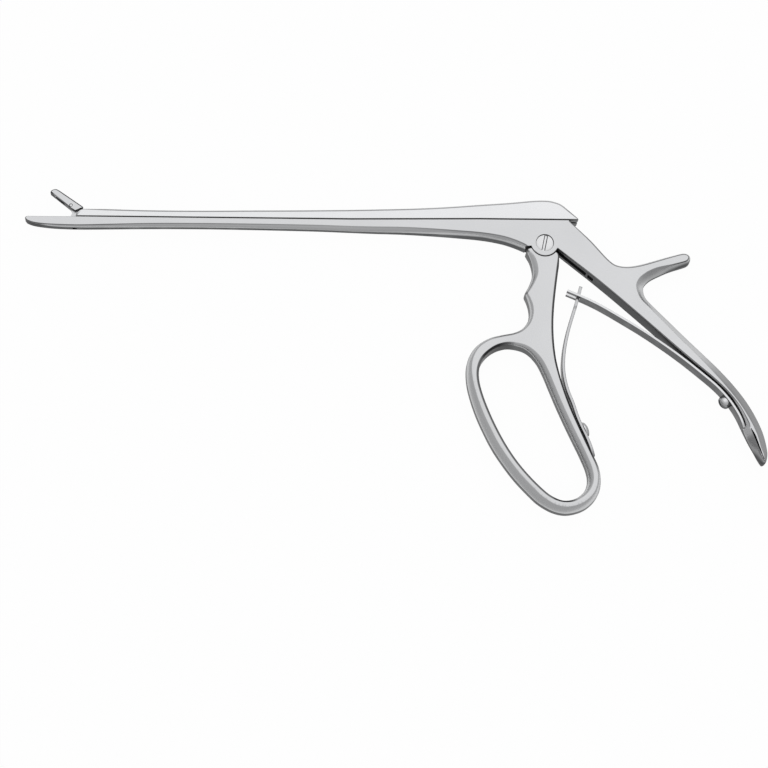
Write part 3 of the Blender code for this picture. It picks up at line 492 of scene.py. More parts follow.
def steel(name, colour, painted_shade_colour, roughness, turn=0.0, leans=(0.60, 0.12), wear_and_highlight=0.3):
    """Stainless steel: ground lines in colour, roughness and relief, painted shade on leaning sides and
    edges, edges painted bright as wear and highlight.
    """
    mat = bpy.data.materials.new(name)
    mat.use_nodes = True
    tree = mat.node_tree
    flat, steep = leans
    grain = node(tree, "ShaderNodeGroup", {"Turn": turn}, node_tree=GRAIN)
    edge = node(tree, "ShaderNodeGroup", {"Amount": wear_and_highlight}, node_tree=EDGE_WEAR_AND_HIGHLIGHT)
    sides = node(tree, "ShaderNodeGroup", {"Flat": flat, "Steep": steep}, node_tree=LEAN_SHADE_MASK)
    edge_shade = node(tree, "ShaderNodeAttribute", attribute_name="edge_shade")
    lines = grain.outputs["Lines"]
    clouded = math_node(tree, "MULTIPLY_ADD", lines, 0.9, -0.35)
    clouded = math_node(tree, "ADD", clouded, grain.outputs["Clouds"], clamp=True)
    paint = colour_mix(tree, clouded, shade(colour, 0.94), shade(colour, 1.05))
    # Painted shade on the leaning sides.
    paint = colour_mix(tree, sides.outputs["Mask"], paint, shade(painted_shade_colour))
    # Painted shade along the edges, in a deeper dark than the sides.
    paint = colour_mix(tree, edge_shade.outputs["Fac"], paint, shade(painted_shade_colour, 0.3))
    # Bright edges: wear and a painted highlight.
    paint = colour_mix(tree, edge.outputs["Mask"], paint, WORN_AND_HIGHLIGHT_STEEL)
    spread = {"Value": lines, "To Min": roughness - 0.05, "To Max": roughness + 0.05}
    rough = node(tree, "ShaderNodeMapRange", spread)
    relief = node(tree, "ShaderNodeBump", {"Strength": 0.05, "Distance": 0.0001, "Height": lines})
    shader = tree.nodes["Principled BSDF"].inputs
    shader["Metallic"].default_value = 1.0
    shader["Specular Tint"].default_value = GRAZING_TINT
    tree.links.new(paint, shader["Base Color"])
    tree.links.new(rough.outputs["Result"], shader["Roughness"])
    tree.links.new(relief.outputs["Normal"], shader["Normal"])
    return mat


# The second colour of each steel is the painted shade of its leaning sides and edges.
forging_steel = steel("satin forging steel", (0.60, 0.605, 0.61), (0.085, 0.087, 0.09), 0.30)
# Painted shade for recesses: the faces that cutters leave.
recess_shade_steel = steel("painted recess shade steel", (0.08, 0.08, 0.083), (0.05, 0.05, 0.052), 0.45, wear_and_highlight=0.0)

outline = straight_run(BODY_TOP)
outline += smooth_run(BODY_BACK)[:-1]
outline += smooth_run(BODY_SPRING_SEAT, 0.8)
outline += fine_arc((0, 0), BOSS_R, BOSS_ARC_DEG)
outline += smooth_run(BODY_BOTTOM, 1.2)
fold_x = (FLARE_START_X, FLARE_END_X)
forging = rounded_plate("satin_shaft_and_palm_handle", outline, half_thickness, split_x=fold_x)
notch = plain(fine_arc((0, 0), BOSS_R, NOTCH_ARC_DEG)) + NOTCH_CORNERS
slot_z = (MID_Z - SLOT_HALF, MID_Z + SLOT_HALF)
jaw_slot_z = (MID_Z - JAW_SLOT_HALF, MID_Z + JAW_SLOT_HALF)
cup_profile = HALF_CUP + [(r, -h) for r, h in HALF_CUP[-2::-1]]
drain = [(x, y, MID_Z + z) for x, y, z in zip(DRAIN_X, DRAIN_Y, (-DRAIN_HALF_W, DRAIN_HALF_W))]
forging_cuts = [
    prism("notch", notch, BELOW_Z, ABOVE_Z),
    prism("lever slot", LEVER_SLOT, *slot_z),
    prism("tip pocket", TIP_POCKET, *slot_z),
    cylinder("pivot bore", (0, 0), PIVOT_SHANK_R + FIT_GAP, 1.0, ABOVE_Z),
    cylinder("pivot counterbore", (0, 0), PIVOT_HEAD_R + HEAD_GAP, HEAD_SEAT_Z, ABOVE_Z),
    cylinder("pivot tail bore", (0, 0), PIVOT_TAIL_R + FIT_GAP, BELOW_Z, TAIL_SEAT_Z),
    prism("jaw slot", JAW_SLOT, *jaw_slot_z),
    box("drain", *drain),
    turned("lower cup", cup_profile, (LOWER_CUP_X, RIM_Y, MID_Z), (1, 0, 0)),
]
machine(forging, forging_steel, forging_cuts)
finish_surface(forging)
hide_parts("shaft_and_palm_handle")
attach(forging, "fixed_body")

# The ring handle is the moving forging: grip with a finger spur, finger ring, and a thin
# core that runs up through the body as the lever. Its edges are rounded far more than the
# shaft's, because a hand closes round them.
COLLAR_GAP = 0.18
COLLAR_ARC_DEG = (-156, -144, -132, -120, -108, -96, -84, -72, -60, -50, -41)
HANDLE_BACK = [
    (5.0, -4.1, 0.5, 0.4), (5.45, -5.4, 0.6, 0.5), (5.35, -9.0, 1.0, 0.8),
    (4.85, -12.3, 1.0, 0.8), (3.9, -18.9, 1.0, 0.8), (3.1, -25.4, 1.0, 0.8),
    (2.6, -31.9, 1.0, 0.8), (2.55, -38.4, 1.0, 0.8), (3.0, -44.9, 1.0, 0.9),
    (3.9, -50.5, 1.0, 1.0), (5.9, -58.6, 0.9, 1.1), (8.7, -66.8, 1.0, 1.2),
    (13.1, -77.6, 1.0, 1.3), (16.2, -84.6, 1.1, 1.4), (18.4, -89.8, 1.2, 1.6),
    (19.2, -94.6, 1.4, 2.0), (18.6, -99.2, 1.7, 2.3), (16.6, -102.9, 2.0, 2.5),
    (13.3, -105.9, 2.2, 2.6), (9.4, -107.6, 2.3, 2.6), (5.0, -108.2, 2.4, 2.6),
    (0.3, -107.1, 2.5, 2.6), (-4.5, -104.3, 2.7, 2.6), (-8.0, -101.1, 2.8, 2.6),
    (-13.6, -94.9, 2.8, 2.6), (-18.2, -88.6, 2.8, 2.6), (-22.1, -82.3, 2.8, 2.6),
    (-25.2, -75.9, 2.8, 2.6), (-27.8, -69.6, 2.7, 2.6), (-29.9, -63.0, 2.6, 2.6),
    (-31.2, -56.7, 2.4, 2.5), (-31.3, -50.4, 2.1, 2.4), (-29.9, -45.7, 1.8, 2.2),
    (-26.9, -41.7, 1.5, 1.9), (-22.3, -38.9, 1.3, 1.7), (-17.5, -37.6, 1.2, 1.6),
    (-12.8, -36.6, 1.2, 1.7), (-9.6, -35.0, 1.3, 1.8), (-7.4, -32.2, 1.5, 2.0),
    (-6.5, -29.0, 1.6, 2.1), (-6.7, -25.8, 1.7, 2.1), (-7.5, -22.9, 1.5, 2.0),
    (-8.2, -21.1, 1.2, 1.9), (-8.0, -20.2, 1.2, 1.9), (-6.9, -18.2, 1.5, 2.0),
    (-5.7, -15.4, 1.8, 2.1), (-4.8, -12.2, 2.1, 2.0), (-5.1, -9.0, 2.2, 1.8),
    (-5.8, -6.4, 2.0, 1.5), (-6.8, -4.2, 1.4, 1.0), (-7.15, -3.1, 0.7, 0.6),
    (-6.5, -2.4, 0.4, 0.4), (-5.8, -2.15, 0.3, 0.3),
]
RING_HOLE = [
    (-14.0, -41.7, 1.2, 1.5), (-18.4, -42.3, 1.1, 1.3), (-22.2, -44.4, 1.0, 1.2),
    (-25.1, -47.7, 1.15, 1.1), (-26.5, -51.8, 1.15, 1.1), (-26.4, -56.6, 1.15, 1.1),
    (-24.9, -62.6, 1.15, 1.1), (-22.5, -69.2, 1.15, 1.1), (-19.6, -75.8, 1.15, 1.1),
    (-16.2, -82.3, 1.15, 1.1), (-12.2, -88.5, 1.15, 1.1), (-7.4, -94.4, 1.15, 1.1),
    (-2.6, -99.3, 1.15, 1.1), (0.7, -101.8, 1.15, 1.1), (4.6, -103.3, 1.0, 1.2),
    (8.8, -102.7, 1.2, 1.4), (12.4, -100.0, 1.6, 1.9), (14.2, -95.9, 2.1, 2.3),
    (13.9, -91.4, 2.2, 2.4), (11.6, -85.2, 2.2, 2.4), (8.6, -78.5, 2.2, 2.4),
    (5.8, -72.1, 2.2, 2.4), (3.1, -65.6, 2.2, 2.4), (0.6, -59.1, 2.2, 2.4),
    (-1.8, -52.8, 2.2, 2.4), (-4.4, -47.5, 2.0, 2.2), (-8.4, -43.4, 1.6, 1.9),
]
TONGUE_HALF = 1.4
TONGUE_R = 4.9
LEVER_REACH = 11.9
LEVER_HEAD_R = 2.2
LEVER_HALF_W = 1.5
LEVER_TILT = 6.25
LEVER_FLARE = 0.6
LEVER_NECK_AT = 5.6
LEVER_STRAIGHT_AT = 8.0
HANDLE_BORE_R = 2.08


def full_half(x):
    """The ring handle is as thick as the body all over."""
    return BODY_HALF


handle_steel = steel("satin handle steel", (0.60, 0.605, 0.61), (0.12, 0.122, 0.125), 0.30, 1.2)
grip_loop = fine_arc((0, 0), BOSS_R + COLLAR_GAP, COLLAR_ARC_DEG) + smooth_run(HANDLE_BACK)
ring_hole = smooth_run(RING_HOLE, closed=True)
# Its thin edges are painted dark as shade over their whole width.
ring_handle = rounded_plate("satin_ring_handle", grip_loop, full_half, hole=ring_hole, thin=True)
lean = Vector((math.sin(math.radians(LEVER_TILT)), math.cos(math.radians(LEVER_TILT))))
side = Vector((lean.y, -lean.x))
lever_head = lean * LEVER_REACH
neck = lean * LEVER_NECK_AT
neck_half = side * (LEVER_HALF_W + LEVER_FLARE)
straight = lean * LEVER_STRAIGHT_AT
straight_half = side * LEVER_HALF_W
lever = [(-4.5, -11.0), (-4.7, -6.0)]
lever += plain(arc((0, 0), TONGUE_R, range(195, 134, -6)))
lever += plain([neck - neck_half, straight - straight_half])
lever += plain(arc(lever_head, LEVER_HEAD_R, range(214, -41, -5)))
lever += plain([straight + straight_half, neck + neck_half])
lever += plain(arc((0, 0), TONGUE_R, range(36, -31, -6)))
lever += [(4.2, -6.0), (3.6, -11.0)]
core = prism("lever core", lever, MID_Z - TONGUE_HALF, MID_Z + TONGUE_HALF)
handle_bore = cylinder("handle bore", (0, 0), HANDLE_BORE_R, 1.0, 7.0)
machine(ring_handle, handle_steel, [handle_bore], [core])
finish_surface(ring_handle)
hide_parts("ring_handle")
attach(ring_handle, "handle")

# The slide is a bar ground to the shaft's width that runs on the shaft's flat top. Its tail
# rises to a hump over the pivot, where the lever's head pushes it, and its nose is rounded
# so that the jaw can turn in front of it.
SLIDE_FLOOR_Y = SEAT_Y + MOVE_GAP
SLIDE_NOSE = (-178.95, 9.6, 3.1)
SLIDE_TOP = [
    (-170.0, 12.75, 0.75, 0.5), (-153.4, 12.45, 0.75, 0.5), (-134.0, 12.5, 0.75, 0.5),
    (-115.0, 12.8, 0.75, 0.5), (-95.0, 13.1, 0.75, 0.5), (FLARE_START_X, 13.5, 0.75, 0.5),
    (-56.3, 13.85, 0.75, 0.5), (-46.5, 14.2, 0.8, 0.5), (-36.7, 14.7, 0.8, 0.5),
    (FLARE_END_X, 15.55, 0.8, 0.5), (-13.3, 16.5, 0.8, 0.5), (-5.4, 17.35, 0.8, 0.5),
    (-1.5, 17.6, 0.8, 0.5), (1.8, 17.55, 0.8, 0.5), (4.4, 17.0, 0.8, 0.5),
    (7.0, 15.9, 0.8, 0.5), (10.2, 13.1, 0.7, 0.5), (12.9, 10.6, 0.5, 0.4),
]
SLIDE_TAIL = [(13.25, 10.3, 0.45, 0.5), (13.45, 9.95, 0.35, 0.4), (13.3, SLIDE_FLOOR_Y, 0.2, 0.2)]
SLIDE_FLOOR_X = (12.2, FLARE_END_X, FLARE_START_X, -181.0)
POCKET_FOOT_Y = 8.0
POCKET_TOP_Y = 14.8
POCKET_CORNER = 1.2
LINK_SLOT_X = (-183.3, -176.9)
LINK_SLOT_Y = (8.0, 14.0)
TAIL_GROOVE_X = (9.0, 14.0)
TAIL_GROOVE_Y = (9.0, 10.4)
TAIL_GROOVE_HALF_W = 0.7
LINK = (-179.1, 10.6)

slide_steel = steel("bright slide steel", (0.72, 0.725, 0.73), (0.2, 0.202, 0.205), 0.28)
slide_loop = [(SLIDE_NOSE[0] - SLIDE_NOSE[2], SLIDE_FLOOR_Y, 0.12, 0.12)]
slide_loop += fine_arc(SLIDE_NOSE[:2], SLIDE_NOSE[2], (176, 92), 0.35, 0.4)
slide_loop += smooth_run(SLIDE_TOP, 1.0)
slide_loop += SLIDE_TAIL
slide_loop += straight_run([(x, SLIDE_FLOOR_Y, 0.2, 0.22) for x in SLIDE_FLOOR_X])
slide = rounded_plate("satin_top_slide", slide_loop, half_thickness, split_x=fold_x)
pocket_half = LEVER_HEAD_R + MOVE_GAP
front_x = lever_head.x - pocket_half
rear_x = lever_head.x + pocket_half
corner_y = POCKET_TOP_Y - POCKET_CORNER
lever_pocket = [
    (front_x, POCKET_FOOT_Y), (rear_x, POCKET_FOOT_Y), (rear_x, corner_y),
    (rear_x - POCKET_CORNER, POCKET_TOP_Y), (front_x + POCKET_CORNER, POCKET_TOP_Y), (front_x, corner_y),
]
groove_ends = zip(TAIL_GROOVE_X, TAIL_GROOVE_Y, (-TAIL_GROOVE_HALF_W, TAIL_GROOVE_HALF_W))
slide_cuts = [
    box("tail groove", *[(x, y, MID_Z + z) for x, y, z in groove_ends]),
    prism("lever pocket", lever_pocket, *slot_z),
    box("link slot", *zip(LINK_SLOT_X, LINK_SLOT_Y, jaw_slot_z)),
]
machine(slide, slide_steel, slide_cuts)
finish_surface(slide)
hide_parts("top_slide")
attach(slide, "slide")

# The upper jaw is a small cup bar that stands open in front of the slide. A thin tongue,
# riveted in its middle plane, carries it on the hinge pin and reaches back to the link pin.
JAW_TIP_AND_BACK = [
    (-191.5, 19.05, 0.4, 0.9), (-192.1, 19.6, 0.5, 1.2), (-191.7, 20.4, 0.6, 1.3),
    (-190.5, 20.85, 0.6, 1.1), (-189.2, 20.55, 0.6, 0.8), (-186.0, 18.3, 0.6, 0.5),
]
JAW_HEEL = (-179.3, 13.5, 0.5, 0.4)
JAW_RELIEF_R = 3.5
JAW_RELIEF_DEG = (97, 107, 117, 127)
JAW_UNDERSIDE = [
    (-182.35, 11.85, 0.2, 0.2), (-183.95, 12.9, 0.2, 0.2), (-184.35, 13.45, 0.15, 0.15),
    (-184.65, 13.66, 0.15, 0.15),
]
JAW_CUT_START = (-184.65, 13.66)
JAW_CUT_END = (-191.5, 19.05)
TONGUE_SLOT = [
    (-188.2, 13.0), (-188.2, 17.1), (-184.2, 17.1),
    (-177.0, 12.4), (-177.0, 9.0), (-184.4, 9.0),
]
JAW_TONGUE_HALF = 0.8
UPPER_CUP_AT = 5.2
UPPER_CUP_SHARE = (0.9, 0.86)
FIRST_GROOVE_AT = 5.4
GROOVE_PITCH = 0.8
GROOVE_HALF = 0.22
GROOVE_RUN_OUT = 0.3
SKIN_Z = (1.0, 7.0)
RIVET = (-184.0, 14.05)
RIVET_BORE_R = 0.56
RIVET_SINK_R = 0.66
RIVET_SINKS_Z = ((1.0, 2.2), (5.8, 7.0))
HINGE = (-181.0, 7.2)

jaw_steel = steel("satin jaw steel", (0.60, 0.605, 0.61), (0.1, 0.102, 0.105), 0.28, 0.7, wear_and_highlight=0.0)
jaw_loop = smooth_run(JAW_TIP_AND_BACK, 0.3) + [JAW_HEEL]
jaw_loop += fine_arc(SLIDE_NOSE[:2], JAW_RELIEF_R, JAW_RELIEF_DEG, 0.2, 0.2)
jaw_loop += JAW_UNDERSIDE
# Its thin edges are painted dark as shade over their whole width.
jaw = rounded_plate("satin_upper_jaw", jaw_loop, half_thickness, thin=True)
cut_start = Vector(JAW_CUT_START)
cut_along = (Vector(JAW_CUT_END) - cut_start).normalized()
into = Vector((cut_along.y, -cut_along.x))
upper_cup = [(r * UPPER_CUP_SHARE[0], h * UPPER_CUP_SHARE[1]) for r, h in cup_profile]
cup_centre = cut_start + cut_along * UPPER_CUP_AT
jaw_cuts = [turned("upper cup", upper_cup, (*cup_centre, MID_Z), (*cut_along, 0))]
jaw_cuts[0].data.materials.append(jaw_steel)
for k in range(3):
    foot = cut_start + cut_along * (FIRST_GROOVE_AT + GROOVE_PITCH * k)
    mouth = foot - into * GROOVE_RUN_OUT
    half_mouth = cut_along * GROOVE_HALF
    groove = [mouth - half_mouth, foot + into * GROOVE_HALF, mouth + half_mouth]
    jaw_cuts.append(prism("groove", groove, *SKIN_Z))
tongue_gap = JAW_TONGUE_HALF + FIT_GAP
jaw_cuts.append(prism("tongue slot", TONGUE_SLOT, MID_Z - tongue_gap, MID_Z + tongue_gap))
jaw_cuts.append(cylinder("rivet bore", RIVET, RIVET_BORE_R, *SKIN_Z))
jaw_cuts += [cylinder("rivet sink", RIVET, RIVET_SINK_R, *depths) for depths in RIVET_SINKS_Z]
machine(jaw, jaw_steel, jaw_cuts)
finish_surface(jaw)
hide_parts("upper_jaw")
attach(jaw, "jaw")

# Two leaf springs of hardened strip hold the handles apart. Each is screwed to the end of a
# handle, and near the pivot the tongue of the front one sits in the fork of the rear one.
REAR_SPRING = [
    (75.15, -73.85), (73.6, -69.6), (71.6, -65.8),
    (69.0, -61.9), (65.3, -57.6), (60.5, -53.2),
    (52.6, -46.5), (44.9, -40.6), (37.2, -35.2),
    (29.5, -30.3), (21.6, -25.5), (15.6, -22.4),
    (8.4, -19.2),
]
FRONT_SPRING = [
    (16.8, -85.3), (15.55, -81.2), (14.15, -77.5),
    (13.0, -74.9), (11.1, -70.2), (9.4, -64.6),
    (7.6, -59.6), (6.5, -54.8), (6.1, -50.6),
    (6.3, -46.2), (7.0, -41.3), (8.2, -36.0),
    (9.7, -30.9), (11.6, -25.0), (13.0, -20.3),
    (14.0, -16.8),
]
# Shares of the length, and the half width there.
REAR_SPRING_WIDTHS = [(0.0, 2.4), (0.02, 3.0), (0.05, 3.2), (1.0, 3.1)]
FRONT_SPRING_WIDTHS = [
    (0.0, 1.6), (0.015, 2.3), (0.04, 2.7),
    (0.5, 2.7), (0.86, 2.0), (0.885, 1.0),
    (0.99, 1.0), (1.0, 0.7),
]
REAR_SPRING_T = 0.9
FRONT_SPRING_T = 1.2
FORK_SLOT_HALF_W = 1.12
FORK_SLOT_LENGTH = 5.55
REAR_CORNER = 0.12
FRONT_CORNER = 0.3
FORK_CUT_REACH = 2


def geometry_tree(name, sizes, materials, switches=()):
    """A geometry node tree with named inputs; gives the tree and its inputs."""
    tree = bpy.data.node_groups.new(name, "GeometryNodeTree")
    sockets = [("Geometry", "NodeSocketGeometry")]
    sockets += [(label, "NodeSocketFloat") for label in sizes]
    sockets += [(label, "NodeSocketBool") for label in switches]
    sockets += [(label, "NodeSocketMaterial") for label in materials]
    for label, kind in sockets:
        tree.interface.new_socket(name=label, in_out="INPUT", socket_type=kind)
    tree.interface.new_socket(name="Geometry", in_out="OUTPUT", socket_type="NodeSocketGeometry")
    return tree, tree.nodes.new("NodeGroupInput").outputs


def painted(tree, geometry, material):
    made = node(tree, "GeometryNodeSetMaterial", {"Geometry": geometry, "Material": material})
    return made.outputs[0]


def close_tree(tree, geometry):
    whole = node(tree, "GeometryNodeRealizeInstances", {"Geometry": geometry})
    node(tree, "NodeGroupOutput", {"Geometry": whole.outputs[0]})


def grow(name, mesh, tree, values):
    """Runs a geometry tree on a few points or edges and keeps the result as a plain mesh."""
    obj = bpy.data.objects.new(name, mesh)
    bpy.context.scene.collection.objects.link(obj)
    modifier = obj.modifiers.new("grow", "NODES")
    modifier.node_group = tree
    for item in tree.interface.items_tree:
        if item.in_out == "INPUT" and item.name in values:
            modifier[item.identifier] = values[item.name]
    keep_mesh(obj)
    return obj


def build_leaf_spring():
    """Sweeps a strip section along the centre line; each point has its own half width."""
    sizes = ("Thickness", "Widest Half", "Corner", "Middle Height")
    tree, given = geometry_tree("leaf spring", sizes, ("Material",))
    line = node(tree, "GeometryNodeMeshToCurve", {"Mesh": given["Geometry"]})
    line = node(tree, "GeometryNodeSetCurveNormal", {"Curve": line.outputs[0]}, mode="Z_UP")
    width = math_node(tree, "MULTIPLY", given["Widest Half"], 2.0)
    section = {"Width": given["Thickness"], "Height": width}
    section = node(tree, "GeometryNodeCurvePrimitiveQuadrilateral", section)
    section = {"Curve": section.outputs[0], "Radius": given["Corner"], "Count": 3}
    section = node(tree, "GeometryNodeFilletCurve", section, mode="POLY")
    strip = {"Curve": line.outputs[0], "Profile Curve": section.outputs[0], "Fill Caps": True}
    strip = node(tree, "GeometryNodeCurveToMesh", strip)
    half = node(tree, "GeometryNodeInputNamedAttribute", {"Name": "half_width"}, data_type="FLOAT")
    share = math_node(tree, "DIVIDE", half.outputs["Attribute"], given["Widest Half"])
    place = node(tree, "GeometryNodeInputPosition")
    parts = node(tree, "ShaderNodeSeparateXYZ", {"Vector": place.outputs[0]}).outputs
    rise = math_node(tree, "SUBTRACT", parts["Z"], given["Middle Height"])
    rise = math_node(tree, "MULTIPLY", rise, share)
    height = math_node(tree, "ADD", rise, given["Middle Height"])
    narrowed = node(tree, "ShaderNodeCombineXYZ", {"X": parts["X"], "Y": parts["Y"], "Z": height})
    shaped = {"Geometry": strip.outputs[0], "Position": narrowed.outputs[0]}
    shaped = node(tree, "GeometryNodeSetPosition", shaped)
    close_tree(tree, painted(tree, shaped.outputs[0], given["Material"]))
    return tree


def width_at(widths, share):
    """The half width at a share of the length, straight between the given ones."""
    low, high = next(pair for pair in zip(widths, widths[1:]) if share <= pair[1][0] + 1e-9)
    t = (share - low[0]) / (high[0] - low[0])
    return low[1] + (high[1] - low[1]) * t


LEAF_SPRING = build_leaf_spring()


def leaf_spring(name, points, widths, thickness, corner, paint):
    """A strip along its centre line, with the half width stored at each point."""
    run = smooth_run(points, 1.0)
    lengths = [0.0]
    for a, b in zip(run, run[1:]):
        lengths.append(lengths[-1] + math.dist(a, b))
    mesh = bpy.data.meshes.new(name)
    places = [(x * MM, y * MM, MID_Z * MM) for x, y in run]
    mesh.from_pydata(places, [(i, i + 1) for i in range(len(run) - 1)], [])
    attribute = mesh.attributes.new("half_width", "FLOAT", "POINT")
    for item, length in zip(attribute.data, lengths):
        item.value = width_at(widths, length / lengths[-1]) * MM
    values = {
        "Thickness": thickness * MM,
        "Widest Half": max(w for _, w in widths) * MM,
        "Corner": corner * MM,
        "Middle Height": MID_Z * MM,
        "Material": paint,
    }
    return grow(name, mesh, LEAF_SPRING, values)


spring_steel = steel(
    "polished spring steel", (0.66, 0.663, 0.667), (0.12, 0.122, 0.125), 0.22, 0.6, (0.9, 0.6)
)
rear_spring = leaf_spring(
    "fork_leaf_spring", REAR_SPRING, REAR_SPRING_WIDTHS, REAR_SPRING_T, REAR_CORNER, spring_steel
)
tip = Vector(REAR_SPRING[-1])
along = (tip - Vector(REAR_SPRING[-2])).normalized()
across = Vector((-along.y, along.x)) * FORK_CUT_REACH
fork_root = tip - along * FORK_SLOT_LENGTH
fork_mouth = tip + along * FORK_CUT_REACH
fork = [fork_root - across, fork_root + across, fork_mouth + across, fork_mouth - across]
fork_cut = prism("fork slot", fork, MID_Z - FORK_SLOT_HALF_W, MID_Z + FORK_SLOT_HALF_W)
fork_cut.data.materials.append(spring_steel)
machine(rear_spring, spring_steel, [fork_cut])
finish_surface(rear_spring)
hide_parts("rear_leaf_spring")
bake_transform(rear_spring, "fixed_body", "handle", start=(0.066, -0.058, 0.004), end=(0.012, -0.021, 0.004))

strip_steel = steel("grey spring steel", (0.5, 0.503, 0.507), (0.08, 0.082, 0.085), 0.22, 0.3, (0.97, 0.7))
front_spring = leaf_spring(
    "tongue_leaf_spring", FRONT_SPRING, FRONT_SPRING_WIDTHS, FRONT_SPRING_T, FRONT_CORNER, strip_steel
)
finish_surface(front_spring)
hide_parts("front_leaf_spring")
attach(front_spring, "handle")

# Slotted screws and plain pins are turned from bright steel: the flat pivot screw, a domed
# screw through the foot of each spring, and the small pins and the rivet of the jaw.
HEAD_SIDES = 56
HEAD_RINGS = 8
ROD_SIDES = 48
SLOT_LIP = 1.8
PIVOT_SCREW_Z = 7.2
PIN_Z = 5.6
RIVET_Z = 6.05
PIVOT_SLOT_TURN = -12.0
SCREW_AT = 3
REAR_SCREW_BACK = 0.6
REAR_SCREW_LIFT = 0.65
FRONT_SCREW_LIFT = 0.1
SPRING_SHANK = {"Shank Radius": 1.0, "Shank Length": 3.6, "Tail Radius": 1.0, "Tail Height": 0.5}
REAR_SCREW = {"Head Radius": 2.6, "Skirt": 1.3, "Crown": 1.6, "Slot Width": 0.7, "Slot Depth": 0.7}
FRONT_SCREW = {"Head Radius": 3.1, "Skirt": 0.3, "Crown": 1.45, "Slot Width": 0.7, "Slot Depth": 0.6}
PIVOT_SCREW = {
    "Head Radius": PIVOT_HEAD_R,
    "Skirt": 0.9,
    "Crown": 0.25,
    "Shank Radius": PIVOT_SHANK_R,
    "Shank Length": 7.15,
    "Tail Radius": PIVOT_TAIL_R,
    "Tail Height": 0.9,
    "Slot Width": 0.8,
    "Slot Depth": 0.8,
}


def pin(radius, crown, length, tail_radius):
    """Sizes of a plain pin or rivet, whose head is no wider than its shank."""
    sizes = {"Head Radius": radius, "Skirt": 0.1, "Crown": crown, "Shank Radius": radius}
    sizes.update({"Shank Length": length, "Tail Radius": tail_radius, "Tail Height": 0.1})
    return sizes


def cylinder_node(tree, radius, depth, sides, rings=1, fill="NGON"):
    sizes = {"Vertices": sides, "Side Segments": 1, "Fill Segments": rings}
    sizes.update({"Radius": radius, "Depth": depth})
    return node(tree, "GeometryNodeMeshCylinder", sizes, fill_type=fill).outputs["Mesh"]


def move_node(tree, geometry, height, turn=None):
    """Lifts a geometry to a height, and turns it by a socket of angles where one is given."""
    lift = node(tree, "ShaderNodeCombineXYZ", {"Z": height}).outputs[0]
    made = node(tree, "GeometryNodeTransform", {"Geometry": geometry, "Translation": lift})
    if turn:
        tree.links.new(turn, made.inputs["Rotation"])
    return made.outputs[0]


def domed_head(tree, given):
    """A short cylinder whose upper face bulges by the crown's height."""
    head = (tree, given["Head Radius"], given["Skirt"], HEAD_SIDES, HEAD_RINGS)
    head = cylinder_node(*head, fill="TRIANGLE_FAN")
    place = node(tree, "GeometryNodeInputPosition")
    parts = node(tree, "ShaderNodeSeparateXYZ", {"Vector": place.outputs[0]}).outputs
    flat = node(tree, "ShaderNodeCombineXYZ", {"X": parts["X"], "Y": parts["Y"]})
    reach = node(tree, "ShaderNodeVectorMath", {0: flat.outputs[0]}, operation="LENGTH")
    share = math_node(tree, "DIVIDE", reach.outputs["Value"], given["Head Radius"])
    dome = math_node(tree, "SUBTRACT", 1.0, math_node(tree, "MULTIPLY", share, share), clamp=True)
    dome = math_node(tree, "MULTIPLY", math_node(tree, "SQRT", dome), given["Crown"])
    lift = node(tree, "ShaderNodeCombineXYZ", {"Z": dome})
    upper = math_node(tree, "GREATER_THAN", parts["Z"], 0.0)
    bulge = {"Geometry": head, "Selection": upper, "Offset": lift.outputs[0]}
    head = node(tree, "GeometryNodeSetPosition", bulge)
    return painted(tree, head.outputs[0], given["Material"])


def slotted_head(tree, given, head):
    """Cuts the screwdriver slot: bright and deep, then a wider shallow one whose faces are painted dark as
    shade at the lips.
    """
    top = math_node(tree, "MULTIPLY_ADD", given["Skirt"], 0.5, given["Crown"])
    length = math_node(tree, "MULTIPLY", given["Head Radius"], 3.0)
    turn = node(tree, "ShaderNodeCombineXYZ", {"Z": given["Slot Turn"]}).outputs[0]
    # The shallow cut's faces take painted shade, dark lips round the slot.
    cuts = ((1.0, 2.0, given["Material"]), (SLOT_LIP, 0.5, given["Slot Lip Shade Material"]))
    for widen, deepen, paint in cuts:
        width = math_node(tree, "MULTIPLY", given["Slot Width"], widen)
        depth = math_node(tree, "MULTIPLY", given["Slot Depth"], deepen)
        size = node(tree, "ShaderNodeCombineXYZ", {"X": width, "Y": length, "Z": depth})
        bar = node(tree, "GeometryNodeMeshCube", {"Size": size.outputs[0]})
        bar = painted(tree, move_node(tree, bar.outputs["Mesh"], top, turn), paint)
        step = node(tree, "GeometryNodeMeshBoolean", operation="DIFFERENCE", solver="EXACT")
        tree.links.new(head, step.inputs["Mesh 1"])
        tree.links.new(bar, step.inputs["Mesh 2"])
        head = step.outputs["Mesh"]
    return head


